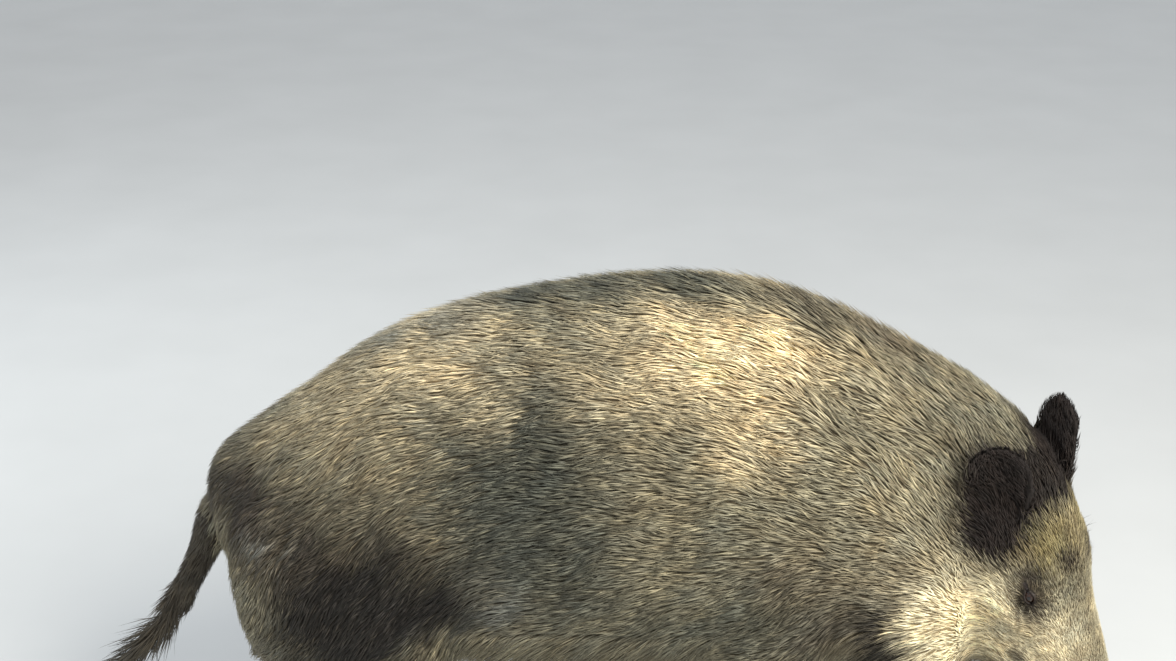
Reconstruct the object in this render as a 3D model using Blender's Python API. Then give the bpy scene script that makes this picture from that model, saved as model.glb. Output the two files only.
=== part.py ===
"""A wild boar, adult male, walking with its head low and turned to its right. Still, life-size.

Frame: +X is where the boar walks, +Y its left, +Z up. The soles of the hooves stand on z = 0 and the
origin is under the middle of the bounding box. The solids reach to the tips of the coat.

The flesh is modelled whole: closed lofts for the trunk, neck, head, legs and tail are fused, smoothed
and thinned to few triangles, and then parted with thin cuts into the parts of the body. Ears, eyes,
tusks and hooves are solids of their own, set into cuts that clear them by a hair.
"""

import math

import bmesh
import bpy
import numpy as np
from mathutils import Matrix, Vector
from mathutils.bvhtree import BVHTree

# ---------------------------------------------------------------- driving dimensions, metres
GAP = 0.0006  # the thin cut between two parts
CLEAR = 0.0004  # the room left round an ear, eye, tusk or hoof
FUSE_VOXEL = 0.007  # grain of the fused flesh
FUSE_SMOOTH = 13  # passes that round the creases between the lofts
FLESH_TRIANGLES = 2820  # before the parts are cut from it

# The head: its ear line and the way it points.
HEAD_AT = Vector((0.605, -0.085, 0.549))
HEAD_PITCH = math.radians(62)
HEAD_YAW = math.radians(33)
HEAD_ROLL = math.radians(8)  # the left side up

EYE_RADIUS = 0.0125
EYE_AT = (0.083, 0.056)  # ahead of the ear line, above the palate line
EYE_SHOWS = 0.0045  # how far it stands out of the flesh

# ---------------------------------------------------------------- small tools


def smooth_rows(rows, per_span):
    """Rows of numbers run through with a Catmull-Rom curve, per_span steps from one row to the next."""
    rows = np.asarray(rows, float)
    before = np.vstack([2 * rows[0] - rows[1], rows, 2 * rows[-1] - rows[-2]])
    out = []
    for i in range(len(rows) - 1):
        p0, p1, p2, p3 = before[i : i + 4]
        for t in np.arange(per_span) / per_span:
            out.append(
                0.5 * (2 * p1 + (p2 - p0) * t + (2 * p0 - 5 * p1 + 4 * p2 - p3) * t**2
                       + (3 * p1 - p0 - 3 * p2 + p3) * t**3)
            )
    out.append(rows[-1])
    return np.array(out)


def oval(count, top, bottom, half_width, fullness_top, fullness_bottom):
    """A closed cross-section, as (side, up) pairs: an oval whose upper and lower halves have their own
    height and fullness. Fullness 2 is an ellipse, more is boxier and less is more pointed."""
    angle = 2 * np.pi * np.arange(count) / count
    c, s = np.cos(angle), np.sin(angle)
    full = np.where(c > 0, fullness_top, fullness_bottom)
    height = np.where(c > 0, top, bottom)
    side = half_width * np.sign(s) * np.abs(s) ** (2 / full)
    up = height * np.sign(c) * np.abs(c) ** (2 / full)
    return np.stack([side, up], axis=1)


def loft(mesh, rings):
    """Adds a closed skin through rings of points to a bmesh, with a fan to the middle at both ends."""
    rings = [[mesh.verts.new(p) for p in ring] for ring in rings]
    count = len(rings[0])
    for a, b in zip(rings, rings[1:]):
        for i in range(count):
            j = (i + 1) % count
            mesh.faces.new((a[i], a[j], b[j], b[i]))
    for ring, turn in ((rings[0], 1), (rings[-1], -1)):
        middle = sum((v.co for v in ring), Vector()) / count
        pole = mesh.verts.new(middle)
        for i in range(count):
            mesh.faces.new((pole, ring[(i + turn) % count], ring[i]))


def blob(mesh, matrix, centre, radii):
    """Adds an ellipsoid to a bmesh, in the axes of a matrix."""
    made = bmesh.ops.create_icosphere(mesh, subdivisions=3, radius=1)
    place = matrix @ Matrix.Translation(centre) @ Matrix.Diagonal((*radii, 1))
    bmesh.ops.transform(mesh, matrix=place, verts=made["verts"])


def new_object(name, mesh, material):
    """A bmesh as a named object with its material, in triangles, so that a seat cut by a larger copy
    bends along the same lines. The bmesh is freed."""
    bmesh.ops.recalc_face_normals(mesh, faces=mesh.faces)
    bmesh.ops.triangulate(mesh, faces=mesh.faces)
    data = bpy.data.meshes.new(name)
    mesh.to_mesh(data)
    mesh.free()
    data.materials.append(material)
    data.shade_smooth()
    obj = bpy.data.objects.new(name, data)
    bpy.context.scene.collection.objects.link(obj)
    return obj


def make_material(name, colour, roughness):
    material = bpy.data.materials.new(name)
    material.use_nodes = True
    shader = material.node_tree.nodes["Principled BSDF"]
    shader.inputs["Base Color"].default_value = (*colour, 1)
    shader.inputs["Roughness"].default_value = roughness
    shader.inputs["Metallic"].default_value = 0
    material.diffuse_color = (*colour, 1)
    return material


def boolean(obj, cutter, operation):
    """Cuts obj with another object at once, and hides the cutter."""
    modifier = obj.modifiers.new(operation.lower(), "BOOLEAN")
    modifier.operation = operation
    modifier.object = cutter
    modifier.solver = "EXACT"
    cutter.hide_render = True
    cutter.display_type = "WIRE"
    settle(obj)


def settle(obj):
    """Replaces obj's mesh by what its modifiers make of it."""
    bpy.context.view_layer.update()
    graph = bpy.context.evaluated_depsgraph_get()
    made = bpy.data.meshes.new_from_object(obj.evaluated_get(graph))
    obj.modifiers.clear()
    obj.data = made


def copy_of(obj, name):
    twin = obj.copy()
    twin.data = obj.data.copy()
    twin.name = name
    bpy.context.scene.collection.objects.link(twin)
    return twin


def swollen(obj, by):
    """A copy of obj that is larger by a hair all round, used to cut a seat for it."""
    twin = copy_of(obj, obj.name + "_seat")
    mesh = bmesh.new()
    mesh.from_mesh(twin.data)
    mesh.normal_update()
    for vert, way in [(v, v.normal.copy()) for v in mesh.verts]:
        vert.co += way * by * min(vert.calc_shell_factor(), 2)
    mesh.to_mesh(twin.data)
    mesh.free()
    return twin


def half(obj, name, point, normal):
    """What is left of obj on the side that normal points to, from the plane through point, as a new
    object with the cut face closed."""
    part = copy_of(obj, name)
    mesh = bmesh.new()
    mesh.from_mesh(part.data)
    bmesh.ops.bisect_plane(
        mesh, geom=mesh.verts[:] + mesh.edges[:] + mesh.faces[:],
        plane_co=point, plane_no=normal, clear_inner=True,
    )
    rim = [e for e in mesh.edges if e.is_boundary]
    bmesh.ops.triangle_fill(mesh, use_beauty=True, use_dissolve=False, edges=rim)
    bmesh.ops.recalc_face_normals(mesh, faces=mesh.faces)
    mesh.to_mesh(part.data)
    mesh.free()
    return part


def parted(obj, names, point, normal):
    """Obj as two objects, names[0] behind the plane and names[1] ahead of it, with GAP between."""
    normal = Vector(normal).normalized()
    point = Vector(point)
    behind = half(obj, names[0], point - normal * GAP / 2, -normal)
    ahead = half(obj, names[1], point + normal * GAP / 2, normal)
    bpy.data.objects.remove(obj)
    return behind, ahead


# ---------------------------------------------------------------- the trunk and neck
# Stations from the rump to the back of the skull. Each has the point on the back line, the point on the
# belly line, the half width there, how far the middle lies to the left, and how far the section faces
# to the right of straight ahead, in degrees.
#     back x, back z,  belly x, belly z, half width, left, turn
TRUNK = (
    (-0.574, 0.590, -0.560, 0.530, 0.032, 0.000, 0),  # behind the tail root
    (-0.556, 0.632, -0.538, 0.465, 0.088, 0.000, 0),  # seat bones
    (-0.508, 0.672, -0.492, 0.425, 0.132, 0.000, 0),  # croup
    (-0.420, 0.735, -0.415, 0.388, 0.168, 0.000, 0),  # hips
    (-0.300, 0.820, -0.300, 0.348, 0.197, 0.000, 0),  # loin and flank
    (-0.160, 0.872, -0.160, 0.308, 0.215, 0.000, 0),
    (0.000, 0.902, 0.000, 0.295, 0.230, 0.000, 0),
    (0.130, 0.912, 0.140, 0.292, 0.232, 0.000, 0),  # ribs
    (0.250, 0.900, 0.265, 0.290, 0.227, 0.000, 0),  # withers and breastbone
    (0.350, 0.868, 0.365, 0.290, 0.216, -0.003, 4),  # shoulders
    (0.440, 0.824, 0.440, 0.290, 0.200, -0.014, 10),  # root of the neck
    (0.525, 0.780, 0.505, 0.284, 0.182, -0.034, 20),
    (0.592, 0.738, 0.560, 0.294, 0.160, -0.060, 28),  # nape and throat
    (0.630, 0.700, 0.592, 0.338, 0.128, -0.078, 33),
)


def trunk_rings():
    """Each section stands on its belly point and leans to its back point. Its width lies across the
    way the section faces, and its upper half is narrower than its lower."""
    rings = []
    for bx, bz, ux, uz, wide, left, turn in smooth_rows(TRUNK, 4):
        back = Vector((bx, left, bz))
        belly = Vector((ux, left, uz))
        up = (back - belly).normalized()
        turn = math.radians(turn)
        side = Vector((math.sin(turn), math.cos(turn), 0))
        middle = (back + belly) / 2
        tall = (back - belly).length / 2
        flat = oval(40, tall, tall, wide, 1.92, 2.25)
        rings.append([middle + side * s + up * u for s, u in flat])
    return rings


# ---------------------------------------------------------------- the head
# Stations along the palate line from behind the ear line to the snout: distance, height above the line,
# depth below it, half width, and the fullness of the upper and lower halves.
HEAD = (
    (-0.155, 0.068, 0.120, 0.085, 2.0, 2.0),
    (-0.110, 0.098, 0.150, 0.106, 1.9, 2.0),
    (-0.055, 0.116, 0.176, 0.114, 1.85, 2.0),
    (0.000, 0.123, 0.200, 0.116, 1.8, 2.0),  # ear line
    (0.050, 0.122, 0.204, 0.109, 1.8, 2.0),  # cheeks
    (0.095, 0.102, 0.186, 0.094, 1.85, 2.1),  # eyes
    (0.140, 0.091, 0.150, 0.080, 1.9, 2.2),
    (0.185, 0.085, 0.120, 0.069, 2.0, 2.3),  # bridge of the nose
    (0.230, 0.078, 0.098, 0.062, 2.1, 2.3),
    (0.272, 0.069, 0.084, 0.057, 2.2, 2.2),  # tusks
    (0.305, 0.060, 0.075, 0.052, 2.2, 2.1),  # chin
    (0.326, 0.052, 0.052, 0.047, 2.2, 2.0),
    (0.348, 0.047, 0.037, 0.044, 2.1, 2.0),  # rim of the snout
    (0.360, 0.044, 0.034, 0.042, 2.0, 2.0),
)
# Forms laid on the head, mirrored to both sides: centre and radii along, across and up.
HEAD_FORMS = (
    ((0.064, 0.050, 0.078), (0.046, 0.023, 0.021)),  # brow
    ((0.074, 0.080, 0.016), (0.062, 0.022, 0.024)),  # cheek bone
    ((0.026, 0.080, -0.124), (0.110, 0.058, 0.102)),  # jowl
    ((0.270, 0.042, -0.028), (0.036, 0.020, 0.022)),  # socket of the tusk
    ((-0.036, 0.070, 0.050), (0.050, 0.036, 0.036)),  # root of the ear
)


def head_frame():
    """The head's own axes: x along the palate line to the snout, y to its left, z through the brow."""
    ahead = Vector((
        math.cos(HEAD_PITCH) * math.cos(HEAD_YAW),
        -math.cos(HEAD_PITCH) * math.sin(HEAD_YAW),
        -math.sin(HEAD_PITCH),
    ))
    left = Vector((math.sin(HEAD_YAW), math.cos(HEAD_YAW), 0))
    above = ahead.cross(left)
    left, above = (
        left * math.cos(HEAD_ROLL) + above * math.sin(HEAD_ROLL),
        above * math.cos(HEAD_ROLL) - left * math.sin(HEAD_ROLL),
    )
    turn = Matrix((ahead, left, above)).transposed().to_4x4()
    return Matrix.Translation(HEAD_AT) @ turn


def head_rings(frame):
    rings = []
    for along, top, bottom, wide, full_top, full_bottom in smooth_rows(HEAD, 3):
        flat = oval(32, top, bottom, wide, full_top, full_bottom)
        rings.append([frame @ Vector((along, s, u)) for s, u in flat])
    return rings


# ---------------------------------------------------------------- the legs
# Stations from inside the body down to the hooves: x, distance from the middle, z, half thickness from
# front to back and from side to side. Right fore and right hind are closing up, the left pair reaches out.
FORE_RIGHT = (
    (0.285, 0.095, 0.700, 0.075, 0.050),  # shoulder blade
    (0.310, 0.128, 0.560, 0.105, 0.080),
    (0.285, 0.142, 0.450, 0.098, 0.076),  # upper arm
    (0.250, 0.143, 0.375, 0.074, 0.060),  # elbow
    (0.232, 0.136, 0.295, 0.050, 0.044),
    (0.222, 0.130, 0.222, 0.037, 0.035),  # carpus
    (0.214, 0.128, 0.150, 0.027, 0.026),
    (0.212, 0.128, 0.090, 0.031, 0.031),  # fetlock
    (0.226, 0.128, 0.052, 0.028, 0.031),
    (0.240, 0.128, 0.024, 0.022, 0.026),
)
FORE_LEFT = (
    (0.290, 0.095, 0.700, 0.075, 0.050),
    (0.325, 0.128, 0.560, 0.105, 0.080),
    (0.318, 0.142, 0.455, 0.098, 0.076),
    (0.318, 0.143, 0.382, 0.074, 0.060),
    (0.345, 0.136, 0.305, 0.050, 0.044),
    (0.370, 0.130, 0.230, 0.037, 0.035),
    (0.386, 0.128, 0.155, 0.027, 0.026),
    (0.400, 0.128, 0.090, 0.031, 0.031),
    (0.420, 0.128, 0.052, 0.028, 0.031),
    (0.436, 0.128, 0.024, 0.022, 0.026),
)
HIND_RIGHT = (
    (-0.350, 0.085, 0.640, 0.110, 0.060),  # hip
    (-0.378, 0.120, 0.540, 0.150, 0.085),
    (-0.350, 0.138, 0.450, 0.163, 0.088),  # thigh
    (-0.312, 0.140, 0.370, 0.130, 0.072),  # stifle
    (-0.315, 0.135, 0.300, 0.078, 0.052),
    (-0.350, 0.130, 0.245, 0.048, 0.038),  # above the hock
    (-0.357, 0.126, 0.200, 0.037, 0.033),
    (-0.335, 0.124, 0.140, 0.028, 0.027),
    (-0.318, 0.124, 0.090, 0.031, 0.031),  # fetlock
    (-0.300, 0.124, 0.052, 0.028, 0.031),
    (-0.284, 0.124, 0.024, 0.022, 0.026),
)
HIND_LEFT = (
    (-0.350, 0.085, 0.640, 0.110, 0.060),
    (-0.385, 0.120, 0.540, 0.150, 0.085),
    (-0.378, 0.138, 0.450, 0.155, 0.088),
    (-0.372, 0.140, 0.370, 0.122, 0.072),
    (-0.410, 0.135, 0.305, 0.072, 0.052),
    (-0.468, 0.130, 0.255, 0.046, 0.038),
    (-0.492, 0.126, 0.205, 0.037, 0.033),
    (-0.498, 0.124, 0.145, 0.028, 0.027),
    (-0.502, 0.124, 0.092, 0.031, 0.031),
    (-0.488, 0.124, 0.053, 0.028, 0.031),
    (-0.472, 0.124, 0.024, 0.022, 0.026),
)


def tube_rings(rows, count, sideways=Vector((0, 1, 0))):
    """Rings round a path: x, y, z, half thickness in the plane of the path, and along sideways."""
    rows = smooth_rows(rows, 3)
    path = rows[:, :3]
    ways = np.gradient(path, axis=0)
    rings = []
    for point, way, (thick, wide) in zip(path, ways, rows[:, 3:5]):
        front = Vector(way).cross(sideways).normalized()
        flat = oval(count, thick, thick, wide, 2.1, 2.1)
        rings.append([Vector(point) + sideways * s + front * u for s, u in flat])
    return rings


def leg_rings(rows, side):
    rows = np.array(rows)
    rows[:, 1] *= side
    return tube_rings(rows, 24)


# ---------------------------------------------------------------- the tail
#      x, y, z, half thickness from front to back and from side to side
TAIL = (
    (-0.500, 0.000, 0.580, 0.034, 0.030),
    (-0.556, 0.000, 0.530, 0.030, 0.026),  # root
    (-0.586, 0.000, 0.463, 0.022, 0.020),
    (-0.622, 0.001, 0.392, 0.021, 0.018),
    (-0.652, 0.004, 0.340, 0.026, 0.018),  # where the tassel starts
    (-0.690, 0.008, 0.297, 0.036, 0.020),
    (-0.728, 0.013, 0.258, 0.040, 0.021),
    (-0.764, 0.018, 0.222, 0.031, 0.018),
    (-0.790, 0.022, 0.194, 0.011, 0.009),
)


def tail_rings():
    return tube_rings(TAIL, 16)


# ---------------------------------------------------------------- ears, eyes, tusks
EAR_LENGTH = 0.160
EAR_WIDTH = 0.112
EAR_THICK = 0.009
EAR_AT = (-0.026, 0.084, 0.050)  # ahead of the ear line, to the side, above the palate line
EAR_WAY = (-0.870, 0.060, 0.480)  # which way it stands: ahead, to the side, above
EAR_OPENS = (0.24, 0.86, 0.44)
EAR_CUP = 0.030  # how deep the ear's hollow is
EAR_ROOT = 0.14  # the share of its length that is sunk in the head


def ear_object(name, frame, side, material):
    """A cupped leaf. Along it, its width swells and closes to a blunt tip. Across it, it is bent to a
    trough that opens outwards and shuts towards the root. A rim joins its two faces."""
    rows, columns = 9, 8
    axis = Vector((EAR_WAY[0], side * EAR_WAY[1], EAR_WAY[2])).normalized()
    opens = Vector((EAR_OPENS[0], side * EAR_OPENS[1], EAR_OPENS[2]))
    opens = (opens - axis * opens.dot(axis)).normalized()
    across = axis.cross(opens)
    root = Vector((EAR_AT[0], side * EAR_AT[1], EAR_AT[2]))
    sheets = ([], [])
    for i in range(rows + 1):
        u = i / rows
        width = EAR_WIDTH / 2 * (0.38 + 1.50 * u - 0.84 * u * u) * math.sqrt(1 - 0.97 * u**3.4)
        cup = EAR_CUP * (1 - 0.60 * u)
        curl = 0.9 + 0.4 * (1 - u)
        for lift, sheet in enumerate(sheets):
            row = []
            for j in range(columns + 1):
                v = 2 * j / columns - 1
                point = root + axis * (EAR_LENGTH * (u - EAR_ROOT) + 0.010 * v * (1 - u))
                point += across * (width * math.sin(v * curl) / math.sin(curl))
                point += opens * (cup * (1 - math.cos(v * curl)) + 0.014 * u * u - 0.010)
                thick = EAR_THICK * (1 - 0.50 * u) * (1 - 0.45 * v * v)
                row.append(frame @ (point + opens * (thick * (lift - 0.5))))
            sheet.append(row)
    mesh = bmesh.new()
    back, front = ([[mesh.verts.new(p) for p in row] for row in sheet] for sheet in sheets)
    for i in range(rows):
        for j in range(columns):
            for sheet, turn in ((back, 1), (front, -1)):
                corners = [sheet[i][j], sheet[i][j + 1], sheet[i + 1][j + 1], sheet[i + 1][j]]
                mesh.faces.new(corners[::turn])
    rim = [(0, j) for j in range(columns)] + [(i, columns) for i in range(rows)]
    rim += [(rows, j) for j in range(columns, 0, -1)] + [(i, 0) for i in range(rows, 0, -1)]
    for (i, j), (k, m) in zip(rim, rim[1:] + rim[:1]):
        mesh.faces.new((back[k][m], back[i][j], front[i][j], front[k][m]))
    return new_object(name, mesh, material)


def eye_object(name, frame, side, flesh, material):
    """An eyeball sunk in the side of the head, whose front stands EYE_SHOWS out of the flesh."""
    tree = BVHTree.FromPolygons(
        [v.co for v in flesh.data.vertices], [p.vertices for p in flesh.data.polygons]
    )
    start = frame @ Vector((EYE_AT[0], side * 0.3, EYE_AT[1]))
    way = (frame @ Vector((EYE_AT[0], 0, EYE_AT[1])) - start).normalized()
    surface, normal = tree.ray_cast(start, way)[:2]
    mesh = bmesh.new()
    bmesh.ops.create_uvsphere(mesh, u_segments=12, v_segments=7, radius=EYE_RADIUS)
    centre = surface + (way - normal).normalized() * (EYE_RADIUS - EYE_SHOWS)
    turn = (-way).to_track_quat("Z", "Y").to_matrix().to_4x4()
    bmesh.ops.transform(mesh, matrix=Matrix.Translation(centre) @ turn, verts=mesh.verts)
    return new_object(name, mesh, material)


TUSK_LENGTH = 0.068
TUSK_RADIUS = 0.0072
TUSK_AT = (0.264, 0.046, -0.050)


def tusk_object(name, frame, side, material):
    """The lower canine: a horn that leaves the lip, swings out and curves up and back to a point."""
    rings = []
    steps, sides = 8, 7
    for i in range(steps + 1):
        u = i / steps
        swing = 1.3 * u
        centre = Vector((
            TUSK_AT[0] + TUSK_LENGTH * 0.16 * math.sin(2 * swing),
            side * (TUSK_AT[1] + TUSK_LENGTH * 0.48 * math.sin(swing)),
            TUSK_AT[2] + TUSK_LENGTH * 0.88 * u,
        ))
        radius = TUSK_RADIUS * (1 - 0.86 * u**1.6)
        rings.append([
            frame @ (centre + Vector((math.cos(a), math.sin(a), 0)) * radius)
            for a in 2 * np.pi * np.arange(sides) / sides
        ])
    mesh = bmesh.new()
    loft(mesh, rings)
    return new_object(name, mesh, material)


# The disc of the snout: distance ahead of the ear line, half width, half height.
SNOUT = (
    (0.3426, 0.0385, 0.0370), (0.352, 0.0415, 0.0400), (0.363, 0.0440, 0.0420), (0.3695, 0.0425, 0.0400),
    (0.3712, 0.0330, 0.0310),
)
SNOUT_LIFT = 0.004
SNOUT_LEAN = 0.10  # how far the disc's upper edge lies behind its lower one, for each metre up
SNOUT_BACK = 0.3415  # where the flesh of the face ends behind the disc
NOSTRIL_AT = (0.3735, 0.0165, 0.005)
NOSTRIL = (0.0110, 0.0070, 0.0095)  # half depth, half width, half height


def snout_object(name, frame, material):
    """A low round block with a flared rim and two nostrils cut in its face."""
    mesh = bmesh.new()
    rings = []
    for along, wide, tall in SNOUT:
        flat = oval(18, tall, tall, wide, 2.2, 2.1)
        rings.append([frame @ Vector((along - SNOUT_LEAN * u, s, u + SNOUT_LIFT)) for s, u in flat])
    loft(mesh, rings)
    snout = new_object(name, mesh, material)
    for side in (-1, 1):
        pit = bmesh.new()
        centre = (NOSTRIL_AT[0], side * NOSTRIL_AT[1], NOSTRIL_AT[2] + SNOUT_LIFT)
        made = bmesh.ops.create_icosphere(pit, subdivisions=1, radius=1)
        place = frame @ Matrix.Translation(centre) @ Matrix.Diagonal((*NOSTRIL, 1))
        bmesh.ops.transform(pit, matrix=place, verts=made["verts"])
        boolean(snout, new_object("pit", pit, bpy.data.materials["helper"]), "DIFFERENCE")
    return snout


# ---------------------------------------------------------------- hooves
HOOF_LENGTH = 0.064
HOOF_WIDTH = 0.032
HOOF_HEIGHT = 0.040
HOOF_SPREAD = 0.0175  # from the middle of the foot to the middle of a claw
TOES_IN = 0.006  # how far a claw's toe turns to the middle of the foot
TOE_AHEAD = 0.034  # from the last station of a leg to the toes
FETLOCK_BELOW = 0.1  # the first station of a leg under this height is its fetlock
DEWCLAW_LENGTH = 0.030
DEWCLAW_RADIUS = 0.0105


def claw_outline(count):
    """The sole of one claw, heel at x = 0 and toe at x = 1, half a unit wide each side: round at the
    heel and drawn out to a blunt toe."""
    angle = 2 * np.pi * np.arange(count) / count
    x = 0.5 - 0.5 * np.cos(angle)
    y = 0.5 * np.sin(angle) * (1.08 - 0.42 * x)
    return x, y


def hoof_object(name, toe, side, material):
    """One claw on the floor, its toe at the point given. The sole is flat, the wall leans back."""
    x, y = claw_outline(12)
    rings = []
    for height, long, wide, back in (
        (0.0, 0.95, 0.90, 0.02), (0.12, 1.0, 1.0, 0.0), (0.60, 0.90, 0.98, 0.01), (1.0, 0.78, 0.92, 0.04),
    ):
        ring = [
            Vector((
                toe[0] - HOOF_LENGTH * (1 - back) + HOOF_LENGTH * long * a,
                toe[1] + side * HOOF_SPREAD + HOOF_WIDTH * wide * b - side * TOES_IN * max(a - 0.5, 0),
                HOOF_HEIGHT * height,
            ))
            for a, b in zip(x, y)
        ]
        rings.append(ring)
    mesh = bmesh.new()
    loft(mesh, rings)
    return new_object(name, mesh, material)


def dewclaw_object(name, fetlock, side, material):
    """A small claw behind the fetlock, pointing down, back and out."""
    way = Vector((-0.42, side * 0.30, -0.86)).normalized()
    start = Vector((fetlock[0] - 0.024, fetlock[1] + side * 0.020, fetlock[2] - 0.006))
    across = way.cross(Vector((1, 0, 0))).normalized()
    other = way.cross(across)
    rings = []
    for u, size in ((0, 0.75), (0.3, 1.0), (0.7, 0.80), (1.0, 0.35)):
        centre = start + way * (DEWCLAW_LENGTH * u)
        rings.append([
            centre + (across * math.cos(a) + other * math.sin(a)) * DEWCLAW_RADIUS * size
            for a in 2 * np.pi * np.arange(7) / 7
        ])
    mesh = bmesh.new()
    loft(mesh, rings)
    return new_object(name, mesh, material)


# ---------------------------------------------------------------- cutters for the legs
LEG_INSIDE = 0.052  # how near the middle of the body the legs reach


def arch_object(name, x_rear, x_front, spring, top, side, grow):
    """A tall block with an arched top that holds one leg: it stands from below the floor to the
    springing height and closes over in an arch. grow makes it larger all round."""
    middle, reach = (x_rear + x_front) / 2, (x_front - x_rear) / 2 + grow
    outline = [(middle + reach, -0.1), (middle + reach, spring)]
    for angle in np.linspace(0, np.pi, 10)[1:-1]:
        outline.append((middle + reach * math.cos(angle), spring + (top + grow - spring) * math.sin(angle)))
    outline += [(middle - reach, spring), (middle - reach, -0.1)]
    mesh = bmesh.new()
    inner, outer = (
        [mesh.verts.new((x, side * y, z)) for x, z in outline] for y in (LEG_INSIDE - grow, 0.5)
    )
    mesh.faces.new(inner)
    mesh.faces.new(outer[::-1])
    for i in range(len(outline)):
        j = (i + 1) % len(outline)
        mesh.faces.new((inner[i], outer[i], outer[j], inner[j]))
    return new_object(name, mesh, bpy.data.materials["helper"])


# name: rear edge, front edge, height where the arch springs, top of the arch, side
ARCHES = {
    "fore_right": (0.145, 0.415, 0.52, 0.70, -1),
    "fore_left": (0.165, 0.485, 0.52, 0.70, 1),
    "hind_right": (-0.620, -0.165, 0.44, 0.68, -1),
    "hind_left": (-0.620, -0.185, 0.44, 0.68, 1),
}
LEG_PARTS = {"fore": ("upper_foreleg", "forearm"), "hind": ("thigh", "shank")}
LEGS = {  # stations, side, height of the carpus or hock
    "fore_right": (FORE_RIGHT, -1, 0.200), "fore_left": (FORE_LEFT, 1, 0.205),
    "hind_right": (HIND_RIGHT, -1, 0.232), "hind_left": (HIND_LEFT, 1, 0.240),
}


# ---------------------------------------------------------------- where the flesh is parted
# Each is a point and the way to the part that is named second.
LEG_CUTS = {  # through the elbow and through the stifle
    "fore": ((0, 0, 0.280), (0, 0, 1)),
    "hind": ((-0.33, 0, 0.345), (0.25, 0, 0.97)),
}
TAIL_CUT = ((-0.588, 0, 0.466), (-0.80, 0, -0.60))
TASSEL_CUT = ((-0.640, 0, 0.360), (-0.50, 0, -0.87))
NECK_CUT = ((0.440, 0, 0.60), (0.997, 0, 0.075))
NAPE_CUT = ((0.532, -0.05, 0.60), (0.90, -0.36, -0.25))

# ---------------------------------------------------------------- building


def fused_flesh(frame, material):
    """All the lofts as one closed skin, smoothed and thinned. The head keeps more of its triangles."""
    mesh = bmesh.new()
    loft(mesh, trunk_rings())
    loft(mesh, head_rings(frame))
    for rows, side, _ in LEGS.values():
        loft(mesh, leg_rings(rows, side))
    loft(mesh, tail_rings())
    for centre, radii in HEAD_FORMS:
        for side in (-1, 1):
            blob(mesh, frame, Vector((centre[0], side * centre[1], centre[2])), radii)
    for side in (-1, 1):
        blob(mesh, Matrix(), (-0.500, side * 0.030, 0.450), (0.045, 0.032, 0.045))  # testes
    flesh = new_object("flesh", mesh, material)
    remesh = flesh.modifiers.new("fuse", "REMESH")
    remesh.mode = "VOXEL"
    remesh.voxel_size = FUSE_VOXEL
    smooth = flesh.modifiers.new("round", "SMOOTH")
    smooth.factor = 0.5
    smooth.iterations = FUSE_SMOOTH
    settle(flesh)
    detail = flesh.vertex_groups.new(name="detail")
    for vert in flesh.data.vertices:
        place = frame.inverted() @ vert.co
        near = 1 - min(max((-place.x - 0.02) / 0.06, 0), 1)
        detail.add([vert.index], 1 - 0.72 * near, "REPLACE")
    thin = flesh.modifiers.new("thin", "DECIMATE")
    thin.ratio = FLESH_TRIANGLES / (2 * len(flesh.data.polygons))
    thin.vertex_group = "detail"
    thin.vertex_group_factor = 0.0002
    settle(flesh)
    flesh.vertex_groups.clear()
    return flesh


def jaw_block(frame, grow):
    """The room the lower jaw takes up: a wedge under the mouth line, from the corner of the mouth on."""
    corner, front = Vector((0.160, 0, -0.044)), Vector((0.400, 0, -0.014))
    outline = [
        corner + Vector((-grow, 0, grow)), front + Vector((0, 0, grow)),
        Vector((0.400, 0, -0.300)), Vector((0.215 - grow, 0, -0.300)),
    ]
    mesh = bmesh.new()
    near, far = (
        [mesh.verts.new(frame @ (p + Vector((0, y, 0)))) for p in outline] for y in (-0.2, 0.2)
    )
    mesh.faces.new(near)
    mesh.faces.new(far[::-1])
    for i in range(4):
        j = (i + 1) % 4
        mesh.faces.new((near[i], far[i], far[j], near[j]))
    return new_object("jaw_block", mesh, bpy.data.materials["helper"])


def carved(obj, name, make_block):
    """Takes from obj what lies in a block, as a new object called name, and leaves GAP round it."""
    piece = copy_of(obj, name)
    boolean(piece, make_block(0), "INTERSECT")
    boolean(obj, make_block(GAP), "DIFFERENCE")
    return piece


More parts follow.
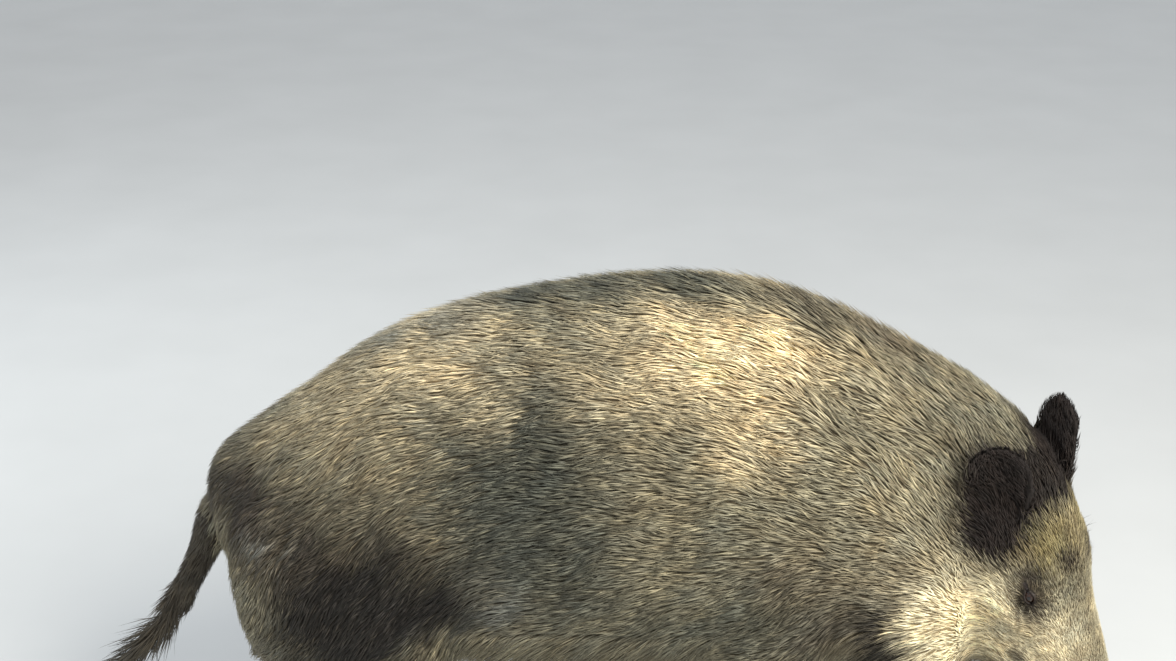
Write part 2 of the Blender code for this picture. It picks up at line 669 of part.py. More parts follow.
def build():
    for obj in list(bpy.data.objects):
        bpy.data.objects.remove(obj)
    coat = make_material("coat", (0.20, 0.17, 0.12), 0.85)
    eye_gloss = make_material("eye", (0.02, 0.012, 0.008), 0.12)
    ivory = make_material("tusk", (0.72, 0.62, 0.45), 0.35)
    horn = make_material("hoof", (0.035, 0.030, 0.027), 0.5)
    make_material("snout", (0.10, 0.075, 0.065), 0.55)
    make_material("helper", (0.5, 0.5, 0.5), 1)
    frame = head_frame()
    flesh = fused_flesh(frame, coat)

    # What stands in the flesh, each with a seat cut for it.
    for word, side in (("right", -1), ("left", 1)):
        for thing in (
            ear_object("ear_" + word, frame, side, coat),
            eye_object("eye_" + word, frame, side, flesh, eye_gloss),
            tusk_object("tusk_" + word, frame, side, ivory),
        ):
            boolean(flesh, swollen(thing, CLEAR), "DIFFERENCE")
    for leg, (rows, side, _) in LEGS.items():
        foot = (rows[-1][0] + TOE_AHEAD, side * rows[-1][1])
        fetlock = next((r[0], side * r[1], r[2]) for r in rows if r[2] < FETLOCK_BELOW)
        for word, way in (("outer", side), ("inner", -side)):
            hoof_object(f"hoof_{leg}_{word}", foot, way, horn)
            dewclaw = dewclaw_object(f"dewclaw_{leg}_{word}", fetlock, way, horn)
            boolean(flesh, swollen(dewclaw, CLEAR), "DIFFERENCE")
    stubs, flesh = parted(flesh, ("stubs", "flesh"), (0, 0, HOOF_HEIGHT + GAP), (0, 0, 1))
    bpy.data.objects.remove(stubs)

    # The legs come off under an arch, and part at the elbow or stifle and at the carpus or hock.
    for leg, (rows, side, joint) in LEGS.items():
        limb = carved(flesh, leg, lambda grow: arch_object("arch", *ARCHES[leg], grow))
        pair, word = leg.split("_")
        upper, lower = LEG_PARTS[pair]
        below, _ = parted(limb, ("below", f"{upper}_{word}"), *LEG_CUTS[pair])
        parted(below, ("foot_" + leg, f"{lower}_{word}"), (0, 0, joint), (0, 0, 1))

    body, tail = parted(flesh, ("body", "tail"), *TAIL_CUT)
    parted(tail, ("tail_root", "tail_tassel"), *TASSEL_CUT)
    _, front = parted(body, ("trunk", "front"), *NECK_CUT)
    _, head = parted(front, ("neck", "face"), *NAPE_CUT)
    face_at = frame @ Vector((SNOUT_BACK, 0, 0))
    face_way = frame.to_3x3() @ Vector((1, 0, SNOUT_LEAN))
    head, stub = parted(head, ("head", "stub"), face_at, face_way)
    bpy.data.objects.remove(stub)
    snout_object("snout", frame, bpy.data.materials["snout"])
    carved(head, "lower_jaw", lambda grow: jaw_block(frame, grow))

    # The origin goes under the middle of the bounding box.
    parts = [obj for obj in bpy.data.objects if not obj.hide_render]
    points = np.array([v.co for obj in parts for v in obj.data.vertices])
    middle = (points.min(axis=0) + points.max(axis=0)) / 2
    for obj in parts:
        obj.data.transform(Matrix.Translation((-middle[0], -middle[1], 0)))


build()
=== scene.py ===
# %% [markdown]
# # A wild boar's looks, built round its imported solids
#
# The solids give the boar's true size, stance and outline, out to the tips of its coat. Under that
# outline lies the hide, and between the two lies the hair. So this script works inwards first and
# outwards after: it sinks one closed skin into the solids by the depth of the coat, models the folds,
# the lids and the mouth on it, and then grows the coat back out as thin tapered tufts of real mesh.

# %% The frame
import math

import bmesh
import bpy
import numpy as np
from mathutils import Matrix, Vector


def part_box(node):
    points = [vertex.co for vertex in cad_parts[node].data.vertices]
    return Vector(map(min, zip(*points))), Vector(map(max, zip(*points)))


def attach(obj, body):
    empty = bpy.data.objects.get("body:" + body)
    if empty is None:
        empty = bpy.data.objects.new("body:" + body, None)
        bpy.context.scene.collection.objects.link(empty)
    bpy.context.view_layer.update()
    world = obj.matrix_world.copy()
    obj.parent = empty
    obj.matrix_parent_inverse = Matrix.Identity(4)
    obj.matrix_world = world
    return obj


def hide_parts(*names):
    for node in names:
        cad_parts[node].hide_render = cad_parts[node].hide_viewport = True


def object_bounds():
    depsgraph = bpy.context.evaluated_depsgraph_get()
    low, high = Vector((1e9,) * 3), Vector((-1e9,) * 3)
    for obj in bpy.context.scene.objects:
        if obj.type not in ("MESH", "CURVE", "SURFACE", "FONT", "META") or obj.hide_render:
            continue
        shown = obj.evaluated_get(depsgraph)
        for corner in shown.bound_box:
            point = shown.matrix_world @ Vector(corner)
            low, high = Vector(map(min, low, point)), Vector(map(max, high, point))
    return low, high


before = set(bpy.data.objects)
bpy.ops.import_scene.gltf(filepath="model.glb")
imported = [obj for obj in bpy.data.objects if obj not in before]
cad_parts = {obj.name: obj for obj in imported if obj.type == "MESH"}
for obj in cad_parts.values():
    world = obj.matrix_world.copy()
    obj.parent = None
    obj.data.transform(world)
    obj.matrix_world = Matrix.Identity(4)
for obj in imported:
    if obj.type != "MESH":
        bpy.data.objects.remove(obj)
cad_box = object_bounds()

chance = np.random.default_rng(7)
MM = 0.001
print("nodes:", len(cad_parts), "box:", [round(v, 3) for corner in cad_box for v in corner])

# %% [markdown]
# ## Arrays in, mesh out
#
# Every surface here is worked out as whole arrays of points and faces. A few helpers carry them in and
# out of meshes: `new_piece` writes arrays into a mesh in one go, `arrays_of` reads them back, and
# `run_through` lets modifiers work on them in between.


# %% Helpers for arrays
def unit(vectors):
    """Each vector divided by its own length."""
    return vectors / np.maximum(np.linalg.norm(vectors, axis=-1, keepdims=True), 1e-12)


def arrays_of(mesh):
    """A mesh as (points, triangles)."""
    mesh.calc_loop_triangles()
    points = np.empty(len(mesh.vertices) * 3, np.float32)
    faces = np.empty(len(mesh.loop_triangles) * 3, np.int32)
    mesh.vertices.foreach_get("co", points)
    mesh.loop_triangles.foreach_get("vertices", faces)
    return points.reshape(-1, 3).astype(float), faces.reshape(-1, 3)


def new_piece(name, points, faces, finish=None):
    """Points and faces, all with the same number of corners, as a smooth mesh object at the origin."""
    mesh = bpy.data.meshes.new(name)
    count, corners = faces.shape
    mesh.vertices.add(len(points))
    mesh.vertices.foreach_set("co", np.ascontiguousarray(points, np.float32).ravel())
    if count:
        mesh.loops.add(count * corners)
        mesh.polygons.add(count)
        mesh.polygons.foreach_set("loop_start", np.arange(0, count * corners, corners, dtype=np.int32))
        mesh.loops.foreach_set("vertex_index", np.ascontiguousarray(faces, np.int32).ravel())
    mesh.update(calc_edges=True)
    mesh.shade_smooth()
    if finish:
        mesh.materials.append(finish)
    piece = bpy.data.objects.new(name, mesh)
    bpy.context.scene.collection.objects.link(piece)
    return piece


def run_through(points, faces, *steps, weights=None):
    """Points and triangles after modifiers, each given as its type and its settings. Weights,
    one for each point, go into a vertex group called share."""
    piece = new_piece("work", points, faces)
    if weights is not None:
        group = piece.vertex_groups.new(name="share")
        levels = np.round(np.clip(weights, 0, 1) * 20).astype(int)
        for level in range(21):
            group.add(np.flatnonzero(levels == level).tolist(), level / 20, "REPLACE")
    for kind, settings in steps:
        modifier = piece.modifiers.new(kind, kind)
        for key, value in settings.items():
            setattr(modifier, key, value)
    graph = bpy.context.evaluated_depsgraph_get()
    result = arrays_of(piece.evaluated_get(graph).to_mesh())
    bpy.data.objects.remove(piece)
    return result


def welded(points, faces):
    """The same surface with points that lie within a hundredth of a millimetre of each other made one."""
    cells = np.round(points / (0.01 * MM)).astype(np.int64)
    _, first, index = np.unique(cells, axis=0, return_index=True, return_inverse=True)
    return points[first], index.reshape(-1)[faces]


def normals_of(points, faces):
    """At each point, the mean of the normals of the triangles round it, each weighted by its area."""
    a, b, c = (points[faces[:, k]] for k in range(3))
    flat = np.cross(b - a, c - a)
    total = np.zeros_like(points)
    for k in range(3):
        for axis in range(3):
            total[:, axis] += np.bincount(faces[:, k], flat[:, axis], len(points))
    return unit(total)


def relaxed(values, faces, rounds, keep=0.5):
    """Values at the points of a mesh, each drawn towards the mean of its neighbours', rounds times."""
    edges = np.concatenate([faces[:, [0, 1]], faces[:, [1, 2]], faces[:, [2, 0]]])
    edges = np.unique(np.sort(edges, 1), axis=0)
    here, there = np.concatenate([edges, edges[:, ::-1]]).T
    count = np.maximum(np.bincount(here, minlength=len(values)), 1)
    values = np.array(values, float).reshape(len(values), -1)
    for _ in range(rounds):
        mean = np.stack([np.bincount(here, column[there], len(values)) for column in values.T], 1)
        values = keep * values + (1 - keep) * mean / count[:, None]
    return values


def outward(points, faces):
    """The faces of a closed surface, turned round if they face in: the sum of the signed volumes of the
    pyramids from the origin to each triangle is positive when they face out."""
    a, b, c = (points[faces[:, k]] for k in range(3))
    volume = np.einsum("ij,ij->i", a, np.cross(b, c)).sum()
    return faces if volume > 0 else faces[:, ::-1]


def closed_rings(rings):
    """A closed surface through rings of points, an array (ring, point, xyz). Neighbouring rings are
    joined by triangles, and each end is closed by a fan to its middle."""
    count, sides = rings.shape[:2]
    ring = np.arange(sides)
    after = (ring + 1) % sides
    start = np.arange(count - 1)[:, None] * sides
    corners = np.stack([start + ring, start + after, start + sides + after, start + sides + ring], -1)
    corners = corners.reshape(-1, 4)
    end = (count - 1) * sides
    first = np.stack([np.full(sides, count * sides), after, ring], 1)
    last = np.stack([np.full(sides, count * sides + 1), end + ring, end + after], 1)
    points = np.concatenate([rings.reshape(-1, 3), rings[0].mean(0)[None], rings[-1].mean(0)[None]])
    faces = np.concatenate([corners[:, [0, 1, 2]], corners[:, [0, 2, 3]], first, last])
    return points, outward(points, faces)


def joined(*surfaces):
    """Several (points, faces) as one, with the faces renumbered."""
    points, faces = zip(*surfaces)
    starts = np.cumsum([0] + [len(some) for some in points[:-1]])
    return np.concatenate(points), np.concatenate([some + start for some, start in zip(faces, starts)])


def soft_step(x, low, high):
    """0 below low, 1 above high, and 3t^2 - 2t^3 between them."""
    t = np.clip((x - low) / (high - low), 0, 1)
    return t * t * (3 - 2 * t)


def band(x, rise, fall):
    """1 between the two slopes rise and fall, each given as (from, to), and 0 outside them."""
    return soft_step(x, *rise) * (1 - soft_step(x, *fall))


def hump(x, width):
    """A bell: e to the power of minus (x / width) squared."""
    return np.exp(-((x / width) ** 2))


def lengths_of(vectors):
    """The square root of the sum of each vector's squares."""
    return np.linalg.norm(vectors, axis=1)


def turns(count):
    """The angles of equal steps once round a circle."""
    return 2 * np.pi * np.arange(count) / count


def circle(sides, first, second):
    """Points round a circle of radius 1 that starts along first and turns towards second."""
    turn = turns(sides)[None, :, None]
    return np.cos(turn) * first + np.sin(turn) * second


# %% [markdown]
# ## The head's own axes
#
# The head hangs low and turns to the boar's right, so nothing on it is square to the world. All its
# forms are easier to think of along its own axes: ahead to the snout, left, and above the palate.

# %% Head axes
HEAD_AT = np.array([0.6056, -0.0850, 0.5490])
PITCH, YAW, ROLL = math.radians(62), math.radians(33), math.radians(8)
ahead = np.array([math.cos(PITCH) * math.cos(YAW), -math.cos(PITCH) * math.sin(YAW), -math.sin(PITCH)])
level = np.array([math.sin(YAW), math.cos(YAW), 0])
above = np.cross(ahead, level)
left = level * math.cos(ROLL) + above * math.sin(ROLL)
above = above * math.cos(ROLL) - level * math.sin(ROLL)
HEAD_TURN = np.stack([ahead, left, above])


def node_arrays(name):
    """The surface of a node of the frame as (points, triangles)."""
    return arrays_of(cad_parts[name].data)


def in_head(points):
    """World points as (ahead, left, above) of the head."""
    return (points - HEAD_AT) @ HEAD_TURN.T


def from_head(points):
    """Points as (ahead, left, above) of the head in world axes."""
    return HEAD_AT + np.asarray(points, float) @ HEAD_TURN


SIDES = {"left": 1, "right": -1}
EYES = {side: np.mean(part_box("eye_" + side), axis=0) for side in SIDES}
EYE_RADIUS = (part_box("eye_left")[1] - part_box("eye_left")[0])[2] / 2
EAR_ROOT = np.array([-0.026, 0.084, 0.050])
EAR_WAY = unit(np.array([-0.870, 0.060, 0.480]))
EAR_LENGTH = 0.138
print("eye radius:", round(EYE_RADIUS, 4))

# %% [markdown]
# ## How the coat lies
#
# Hair length, depth, coarseness and direction change slowly over a boar: long flat bristles on the neck
# and back, short sleek hair on the legs and face. A groomer would note them at a few dozen places. The
# table below is such a set of notes, and between the places the values blend smoothly, each place
# weighted by e to the power of minus its squared distance over its squared reach.

# %% Notes on the coat
# x, out from the middle, z, reach, depth, length and width, all in mm; then the flow: x, outwards, z
BODY_NOTES = {
    "trunk": (
        (-560, 0, 600, 70, 11, 40, 2.4, -0.5, 0, -1),
        (-500, 50, 670, 90, 13, 44, 2.5, -0.8, 0.1, -0.9),
        (-420, 0, 735, 120, 14, 48, 2.6, -1, 0, -0.6),
        (-250, 0, 845, 140, 15, 52, 2.7, -1, 0, -0.25),
        (-50, 0, 895, 150, 16, 54, 2.7, -1, 0, 0),
        (180, 0, 910, 150, 17, 60, 2.8, -1, 0, 0.05),
        (360, 0, 865, 120, 17, 62, 2.8, -1, 0, 0.35),
        (-380, 130, 720, 120, 14, 48, 2.6, -1, 0.2, -0.6),
        (-180, 150, 800, 140, 15, 50, 2.7, -1, 0.1, -0.15),
        (40, 160, 830, 140, 16, 52, 2.7, -1, 0, 0.02),
        (230, 160, 810, 130, 16, 54, 2.8, -1, 0, 0.28),
        (-240, 190, 620, 130, 14, 48, 2.6, -1, 0, -0.4),
        (-80, 210, 600, 140, 15, 50, 2.7, -1, 0, -0.12),
        (80, 220, 620, 140, 15, 50, 2.7, -1, 0, 0.1),
        (230, 220, 640, 130, 15, 50, 2.7, -1, 0, 0.3),
        (-180, 170, 420, 120, 13, 46, 2.6, -1, 0, -0.35),
        (-20, 190, 410, 130, 14, 48, 2.6, -1, 0, -0.25),
        (110, 190, 410, 120, 14, 46, 2.6, -1, 0, -0.2),
        (-350, 40, 390, 120, 9, 34, 2.2, -1, 0, 0.1),
        (-100, 0, 345, 130, 10, 38, 2.3, -1, 0, 0),
        (120, 0, 325, 130, 11, 40, 2.4, -1, 0, 0),
        (320, 0, 310, 120, 12, 42, 2.5, -1, 0, 0),
        (-500, 30, 450, 60, 6, 22, 1.9, -0.4, 0, -1),
    ),
    "neck": (
        (360, 190, 640, 110, 15, 50, 2.7, -1, 0, 0.5),
        (400, 140, 760, 120, 16, 54, 2.8, -1, 0, 0.58),
        (460, 0, 810, 100, 16, 56, 2.8, -1, 0, 0.6),
        (540, 20, 765, 90, 14, 50, 2.6, -0.8, 0, 0.75),
        (460, 180, 580, 100, 14, 46, 2.6, -1, 0, 0.7),
        (520, 130, 680, 90, 13, 44, 2.5, -0.85, 0, 0.85),
        (420, 170, 440, 90, 13, 42, 2.5, -1, 0, 0.15),
        (500, 30, 320, 100, 11, 40, 2.4, -1, 0, 0.05),
    ),
    "hind": (
        (-540, 90, 540, 90, 11, 40, 2.4, -0.4, 0.2, -1),
        (-400, 190, 530, 120, 12, 42, 2.5, -0.55, 0, -1),
        (-290, 190, 470, 110, 12, 42, 2.5, -0.6, 0, -1),
    ),
    "fore": (
        (280, 190, 480, 110, 13, 42, 2.5, -0.75, 0, -0.55),
    ),
}
# the same in head axes: ahead, out, above
HEAD_NOTES = (
    (-110, 60, 85, 60, 11, 36, 2.2, -1, 0, 0.15),
    (-60, 0, 112, 60, 10, 32, 2.1, -1, 0, 0.1),
    (30, 0, 112, 50, 7, 21, 1.5, -1, 0, 0),
    (90, 0, 100, 50, 5.5, 16, 1.3, -1, 0, 0),
    (150, 20, 84, 50, 4.5, 13, 1.2, -1, 0, 0),
    (240, 15, 66, 50, 3.2, 9, 1.05, -1, 0, 0),
    (310, 30, 30, 40, 2.4, 7, 1.1, -1, 0.1, 0),
    (250, 58, 0, 50, 3.2, 9, 1.2, -1, 0, -0.2),
    (290, 45, -40, 40, 3, 10, 1.2, -1, 0, -0.5),
    (83, 80, 56, 30, 3.2, 9, 0.95, -1, 0.2, 0.1),
    (130, 78, 10, 50, 5, 15, 1.25, -1, 0.1, -0.25),
    (60, 95, 0, 50, 7.5, 24, 1.6, -1, 0.2, -0.35),
    (-10, 100, 40, 50, 7, 24, 1.9, -1, 0.3, 0.2),
    (-80, 100, 0, 70, 12, 40, 2.3, -1, 0.2, 0),
    (0, 105, -70, 70, 11, 38, 2.2, -1, 0.2, -0.3),
    (60, 90, -120, 70, 10, 36, 2.2, -1, 0.2, -0.6),
    (170, 62, -70, 50, 6, 20, 1.7, -1, 0.1, -0.5),
    (270, 20, -84, 40, 5, 22, 1.5, -0.8, 0, -1),
    (120, 0, -170, 70, 9, 32, 2.1, -1, 0, -0.5),
    (-20, 0, -190, 90, 11, 38, 2.3, -1, 0, -0.2),
)
LEG_NODES = {"hind": ("thigh", "shank", "foot_hind"), "fore": ("upper_foreleg", "forearm", "foot_fore")}
# down a leg: which node, how far down it, reach in m; depth, length, width in mm; how far back it points
LEG_NOTES = (
    (1, 0.20, 0.060, 8.0, 28, 2.1, 0.30), (1, 0.85, 0.045, 6.0, 20, 1.8, 0.15),
    (2, 0.25, 0.040, 4.5, 16, 1.6, 0.10), (2, 0.60, 0.035, 4.0, 14, 1.5, 0.10),
    (2, 0.92, 0.030, 3.5, 13, 1.5, -0.25),
)
# along an ear: the share of its length, metres off its middle line, length in mm
EAR_NOTES = ((0.2, 0, 17), (0.45, 0, 17), (0.7, 0, 19), (0.9, 0, 24), (0.75, 0.03, 20), (0.75, -0.03, 20))
TAIL_LINE = np.array([
    (-0.505, 0.000, 0.575), (-0.556, 0.000, 0.530), (-0.586, 0.000, 0.463), (-0.622, 0.001, 0.392),
    (-0.652, 0.004, 0.340), (-0.690, 0.008, 0.297), (-0.728, 0.013, 0.258), (-0.764, 0.018, 0.222),
])


def all_notes():
    """Every note as a row of numbers in world axes, mirrored to both sides, with its part's name."""
    names, rows = [], []
    for part, notes in BODY_NOTES.items():
        for x, out, z, reach, *hair, fx, fy, fz in notes:
            for side, sign in SIDES.items():
                names.append(part if part in ("trunk", "neck") else f"{part}_{side}")
                rows.append((x / 1000, sign * out / 1000, z / 1000, reach / 1000, *hair, fx, sign * fy, fz))
    for x, out, z, reach, *hair, fx, fy, fz in HEAD_NOTES:
        for sign in SIDES.values():
            names.append("head")
            flow = np.array((fx, sign * fy, fz)) @ HEAD_TURN
            rows.append((*from_head(np.array((x, sign * out, z)) / 1000), reach / 1000, *hair, *flow))
    for pair, parts in LEG_NODES.items():
        for side in SIDES:
            for which, share, reach, depth, length, width, back in LEG_NOTES:
                points = node_arrays(f"{parts[which]}_{side}")[0]
                low, high = points[:, 2].min(), points[:, 2].max()
                z = high + (low - high) * share
                near = points[np.abs(points[:, 2] - z) < 0.35 * (high - low)]
                names.append(f"{pair}_{side}")
                x, y = near[:, 0].mean(), near[:, 1].mean()
                rows.append((x, y, z, reach, depth, length, width, -back, 0, -1))
    for k, way in enumerate(unit(np.gradient(TAIL_LINE, axis=0))[1:]):
        names.append("tail")
        rows.append((*TAIL_LINE[k + 1], 0.045, *((5, 26, 1.9) if k < 3 else (20, 80, 2.0)), *way))
    for side, sign in SIDES.items():
        mirror = np.array((1, sign, 1))
        shape = in_head(node_arrays("ear_" + side)[0]) * mirror
        lateral = np.linalg.svd(shape - shape.mean(0))[2][1]
        for share, aside, length in EAR_NOTES:
            names.append("ear_" + side)
            place = (EAR_ROOT + EAR_WAY * EAR_LENGTH * share + lateral * aside) * mirror
            flow = (EAR_WAY - lateral * aside * 18) * mirror
            rows.append((*from_head(place), 0.040, 5.0, length, 1.2, *(unit(flow) @ HEAD_TURN)))
    return names, np.array(rows)


PART_OF_NOTE, NOTES = all_notes()
PARTS = sorted(set(PART_OF_NOTE))
NOTE_PART = np.array([PARTS.index(name) for name in PART_OF_NOTE])
LIE_CHUNK = 20000  # points worked on at a time, to save memory


def is_of(part, *names):
    """Which points belong to any of the parts named."""
    return np.isin(part, [PARTS.index(name) for name in names])


def lie_of(points):
    """Depth, length and width of the hair in metres, its flow, and the part that each point belongs to."""
    out, part = np.empty((len(points), 6)), np.empty(len(points), int)
    for start in range(0, len(points), LIE_CHUNK):
        some = slice(start, start + LIE_CHUNK)
        apart = ((points[some, None, :] - NOTES[None, :, :3]) ** 2).sum(-1) / NOTES[:, 3] ** 2
        share = np.exp(apart.min(1, keepdims=True) - apart)
        share /= share.sum(1, keepdims=True)
        out[some] = share @ NOTES[:, 4:]
        part[some] = NOTE_PART[share.argmax(1)]
    return out[:, 0] * MM, out[:, 1] * MM, out[:, 2] * MM, unit(out[:, 3:]), part


print("notes on the coat:", len(NOTES), "parts:", ", ".join(PARTS))

# %% [markdown]
# ## One skin for all the flesh
#
# The solids of the body are parted by thin cuts and faceted. The real animal has one seamless hide. The
# flesh nodes are copied, swollen by a hair so that they overlap, and fused by a voxel remesh. The fused
# skin is relaxed and then drawn in along its normals by the depth of the coat. The tail's tassel is all
# hair on a thin tail, so a thin tapering tube takes its place.

# %% Fusing the flesh
FUSE_VOXEL = 0.0042
SWELL = 0.0012
EAR_SWELL = 0.0030
TAIL_CORE = np.interp(np.arange(8), (0, 2, 4, 7), (0.020, 0.016, 0.013, 0.004))
BODY_NODES = ["trunk", "neck", "head", "lower_jaw", "tail_root"]
BODY_NODES += [f"{part}_{side}" for parts in LEG_NODES.values() for part in parts for side in SIDES]
EAR_NODES = ["ear_left", "ear_right"]


def swollen_node(name, by):
    """A node's surface, moved out along its normals."""
    points, faces = welded(*node_arrays(name))
    return points + normals_of(points, faces) * by, faces


def tube_along(path, radii, sides):
    """Circles of the given radii square to a path, closed at both ends."""
    way = unit(np.gradient(path, axis=0))
    across = unit(np.cross(way, (0.0, 1.0, 0.0)))
    ring = circle(sides, across[:, None], np.cross(way, across)[:, None])
    return closed_rings(path[:, None] + ring * radii[:, None, None])


def ball(centre, radii, rows=12, sides=24):
    """A sphere from pole to pole, stretched by radii."""
    down = np.pi * (np.arange(rows) + 0.5) / rows
    turn = turns(sides)
    ring = np.stack([
        np.sin(down)[:, None] * np.cos(turn), np.sin(down)[:, None] * np.sin(turn),
        np.cos(down)[:, None] * np.ones(sides),
    ], -1)
    return closed_rings(np.asarray(centre) + ring * radii)


def plugs():
    """Balls of flesh that fill the seats which the tusks and dewclaws are cut into."""
    for sign in SIDES.values():
        yield ball(from_head((0.266, sign * 0.038, -0.046)), 0.014)
    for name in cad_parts:
        if name.startswith("dewclaw"):
            yield ball(sum(np.array(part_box(name))) / 2 + (0.016, 0, 0.004), 0.013)


raw = joined(
    *(swollen_node(name, SWELL) for name in BODY_NODES),
    *(swollen_node(name, EAR_SWELL) for name in EAR_NODES),
    tube_along(TAIL_LINE, TAIL_CORE, 16),
    *plugs(),
)
points, faces = run_through(
    *raw,
    ("REMESH", {"mode": "VOXEL", "voxel_size": FUSE_VOXEL}),
    ("SMOOTH", {"factor": 0.5, "iterations": 10}),
)
print("fused skin:", len(points), "points")

# %% Filling folds
# where the turned head meets the neck, and the thigh the rump, the skin is relaxed much more
FOLD_ROUNDS = 130
h = in_head(points)
in_fold = band(h[:, 0], (-0.12, -0.06), (0.13, 0.18)) * soft_step(h[:, 1], 0.03, 0.06)
from_ear = h - (EAR_ROOT + np.clip((h - EAR_ROOT) @ EAR_WAY, 0, EAR_LENGTH)[:, None] * EAR_WAY)
in_fold *= soft_step(lengths_of(from_ear), 0.040, 0.058)
in_fold *= soft_step(lengths_of(points - EYES["left"]), 0.030, 0.050)
x, y, z = points[:, 0], np.abs(points[:, 1]), points[:, 2]
on_thigh = band(-x, (0.10, 0.20), (0.50, 0.55)) * soft_step(y, 0.10, 0.14)
on_thigh *= band(z, (0.40, 0.47), (0.64, 0.72))
in_fold = np.maximum(in_fold, on_thigh)
points = points + (relaxed(points, faces, FOLD_ROUNDS) - points) * in_fold[:, None]

# %% Drawing it in by the depth of the coat
PASSES = 4
TAIL_DEPTH = 0.0015  # the tassel's hair hangs free, so its core is hardly drawn in
KEPT_SHARE = 0.345  # the share of the triangles that thinning keeps. The head loses fewest
depth, _, _, _, part = lie_of(points)
depth = np.where(is_of(part, "tail"), TAIL_DEPTH, depth)
depth = relaxed(depth, faces, 12)[:, 0]
for _ in range(PASSES):
    points = points - normals_of(points, faces) * (depth / PASSES)[:, None]
    points = relaxed(points, faces, 2, keep=0.6)
head_share = soft_step(in_head(points)[:, 0], -0.10, -0.02) * (points[:, 0] > 0.3)
thinning = {"ratio": KEPT_SHARE, "vertex_group": "share", "vertex_group_factor": 0.01}
thinning["invert_vertex_group"] = True
points, faces = run_through(points, faces, ("DECIMATE", thinning), weights=head_share)
print("skin drawn in and thinned:", len(points), "points", len(faces), "triangles")

# %% [markdown]
# ## Modelling the head
#
# Lids, lips and wrinkles need a finer mesh than a flank does. Triangles round the eyes, the mouth and
# the end of the muzzle are split first. Each form is then a height worked out for all points at once:
# a lid is a shell a little larger than the eyeball, cut open in the shape of an almond, and the mouth
# is a groove along a slanting plane with the upper lip swelling over it.


# %% Finer triangles where forms are small
def refined(points, faces, chosen):
    """The mesh with every edge whose two ends are both chosen cut in half."""
    mesh = bpy.data.meshes.new("fine")
    mesh.from_pydata(points, [], faces.tolist())
    work = bmesh.new()
    work.from_mesh(mesh)
    work.verts.ensure_lookup_table()
    edges = [e for e in work.edges if chosen[e.verts[0].index] and chosen[e.verts[1].index]]
    bmesh.ops.subdivide_edges(work, edges=edges, cuts=1, use_grid_fill=True)
    bmesh.ops.triangulate(work, faces=work.faces)
    work.to_mesh(mesh)
    work.free()
    result = arrays_of(mesh)
    bpy.data.meshes.remove(mesh)
    return result


MOUTH_CORNER = np.array((0.166, -0.046))  # ahead, above
MOUTH_FRONT = np.array((0.345, -0.0205))


def over_mouth(h):
    """How far points in head axes lie above the plane of the mouth."""
    along = (h[:, 0] - MOUTH_CORNER[0]) / (MOUTH_FRONT[0] - MOUTH_CORNER[0])
    bow = 0.0045 * np.sin(2 * np.pi * np.clip(along, 0, 1))
    return h[:, 2] - (MOUTH_CORNER[1] + (MOUTH_FRONT[1] - MOUTH_CORNER[1]) * along + bow)


def from_eyes(points):
    """How far points lie from the middle of the nearer eye."""
    return np.min([lengths_of(points - eye) for eye in EYES.values()], axis=0)


def near_mouth(points, reach):
    """Which points lie close to the plane of the mouth, ahead of its corner."""
    h = in_head(points)
    return (np.abs(over_mouth(h)) < reach) & (h[:, 0] > MOUTH_CORNER[0] - 0.02)


on_snout = in_head(points)[:, 0] > 0.285
points, faces = refined(points, faces, (from_eyes(points) < 0.036) | near_mouth(points, 0.012) | on_snout)
points, faces = refined(points, faces, (from_eyes(points) < 0.026) | near_mouth(points, 0.006))
print("skin with a fine face:", len(faces), "triangles")

# %% Lids
LID_THICK = 0.0019
EYE_LONG = 0.0120  # from the middle of the opening to a corner
UPPER_OPEN, LOWER_OPEN = 0.0069, 0.0050
LID_TILT = 0.10  # how far the front corner is drawn down
LID_POWER = 2.1  # 2 would make each edge a parabola


def eye_axes(side):
    """The way an eye looks out, and the ways along the face and up, square to it."""
    out = np.array((0.16, 0.93 * SIDES[side], 0.30)) @ HEAD_TURN
    out = out / np.linalg.norm(out)
    along = unit(ahead - out * (ahead @ out))
    up = np.cross(out, along)
    return out, along, up if up @ HEAD_TURN[2] > 0 else -up


def lid_gap(along, up):
    """Below zero inside the opening: how far a point lies over the upper lid's edge or under the lower
    one's. Both edges are arcs that meet in the corners, and the front corner is drawn down."""
    tilt = up + LID_TILT * along
    reach = np.clip(1 - (np.abs(along) / EYE_LONG) ** LID_POWER, 0, 1)
    return np.maximum(tilt - UPPER_OPEN * reach, -LOWER_OPEN * reach - tilt)


def by_lids(points, side, reach):
    """For points near an eye: how far they lie outside the opening, and which are in front of the ball's
    middle and within reach of it."""
    out, along, up = eye_axes(side)
    local = points - EYES[side]
    return lid_gap(local @ along, local @ up), (lengths_of(local) < reach) & (local @ out > 0)


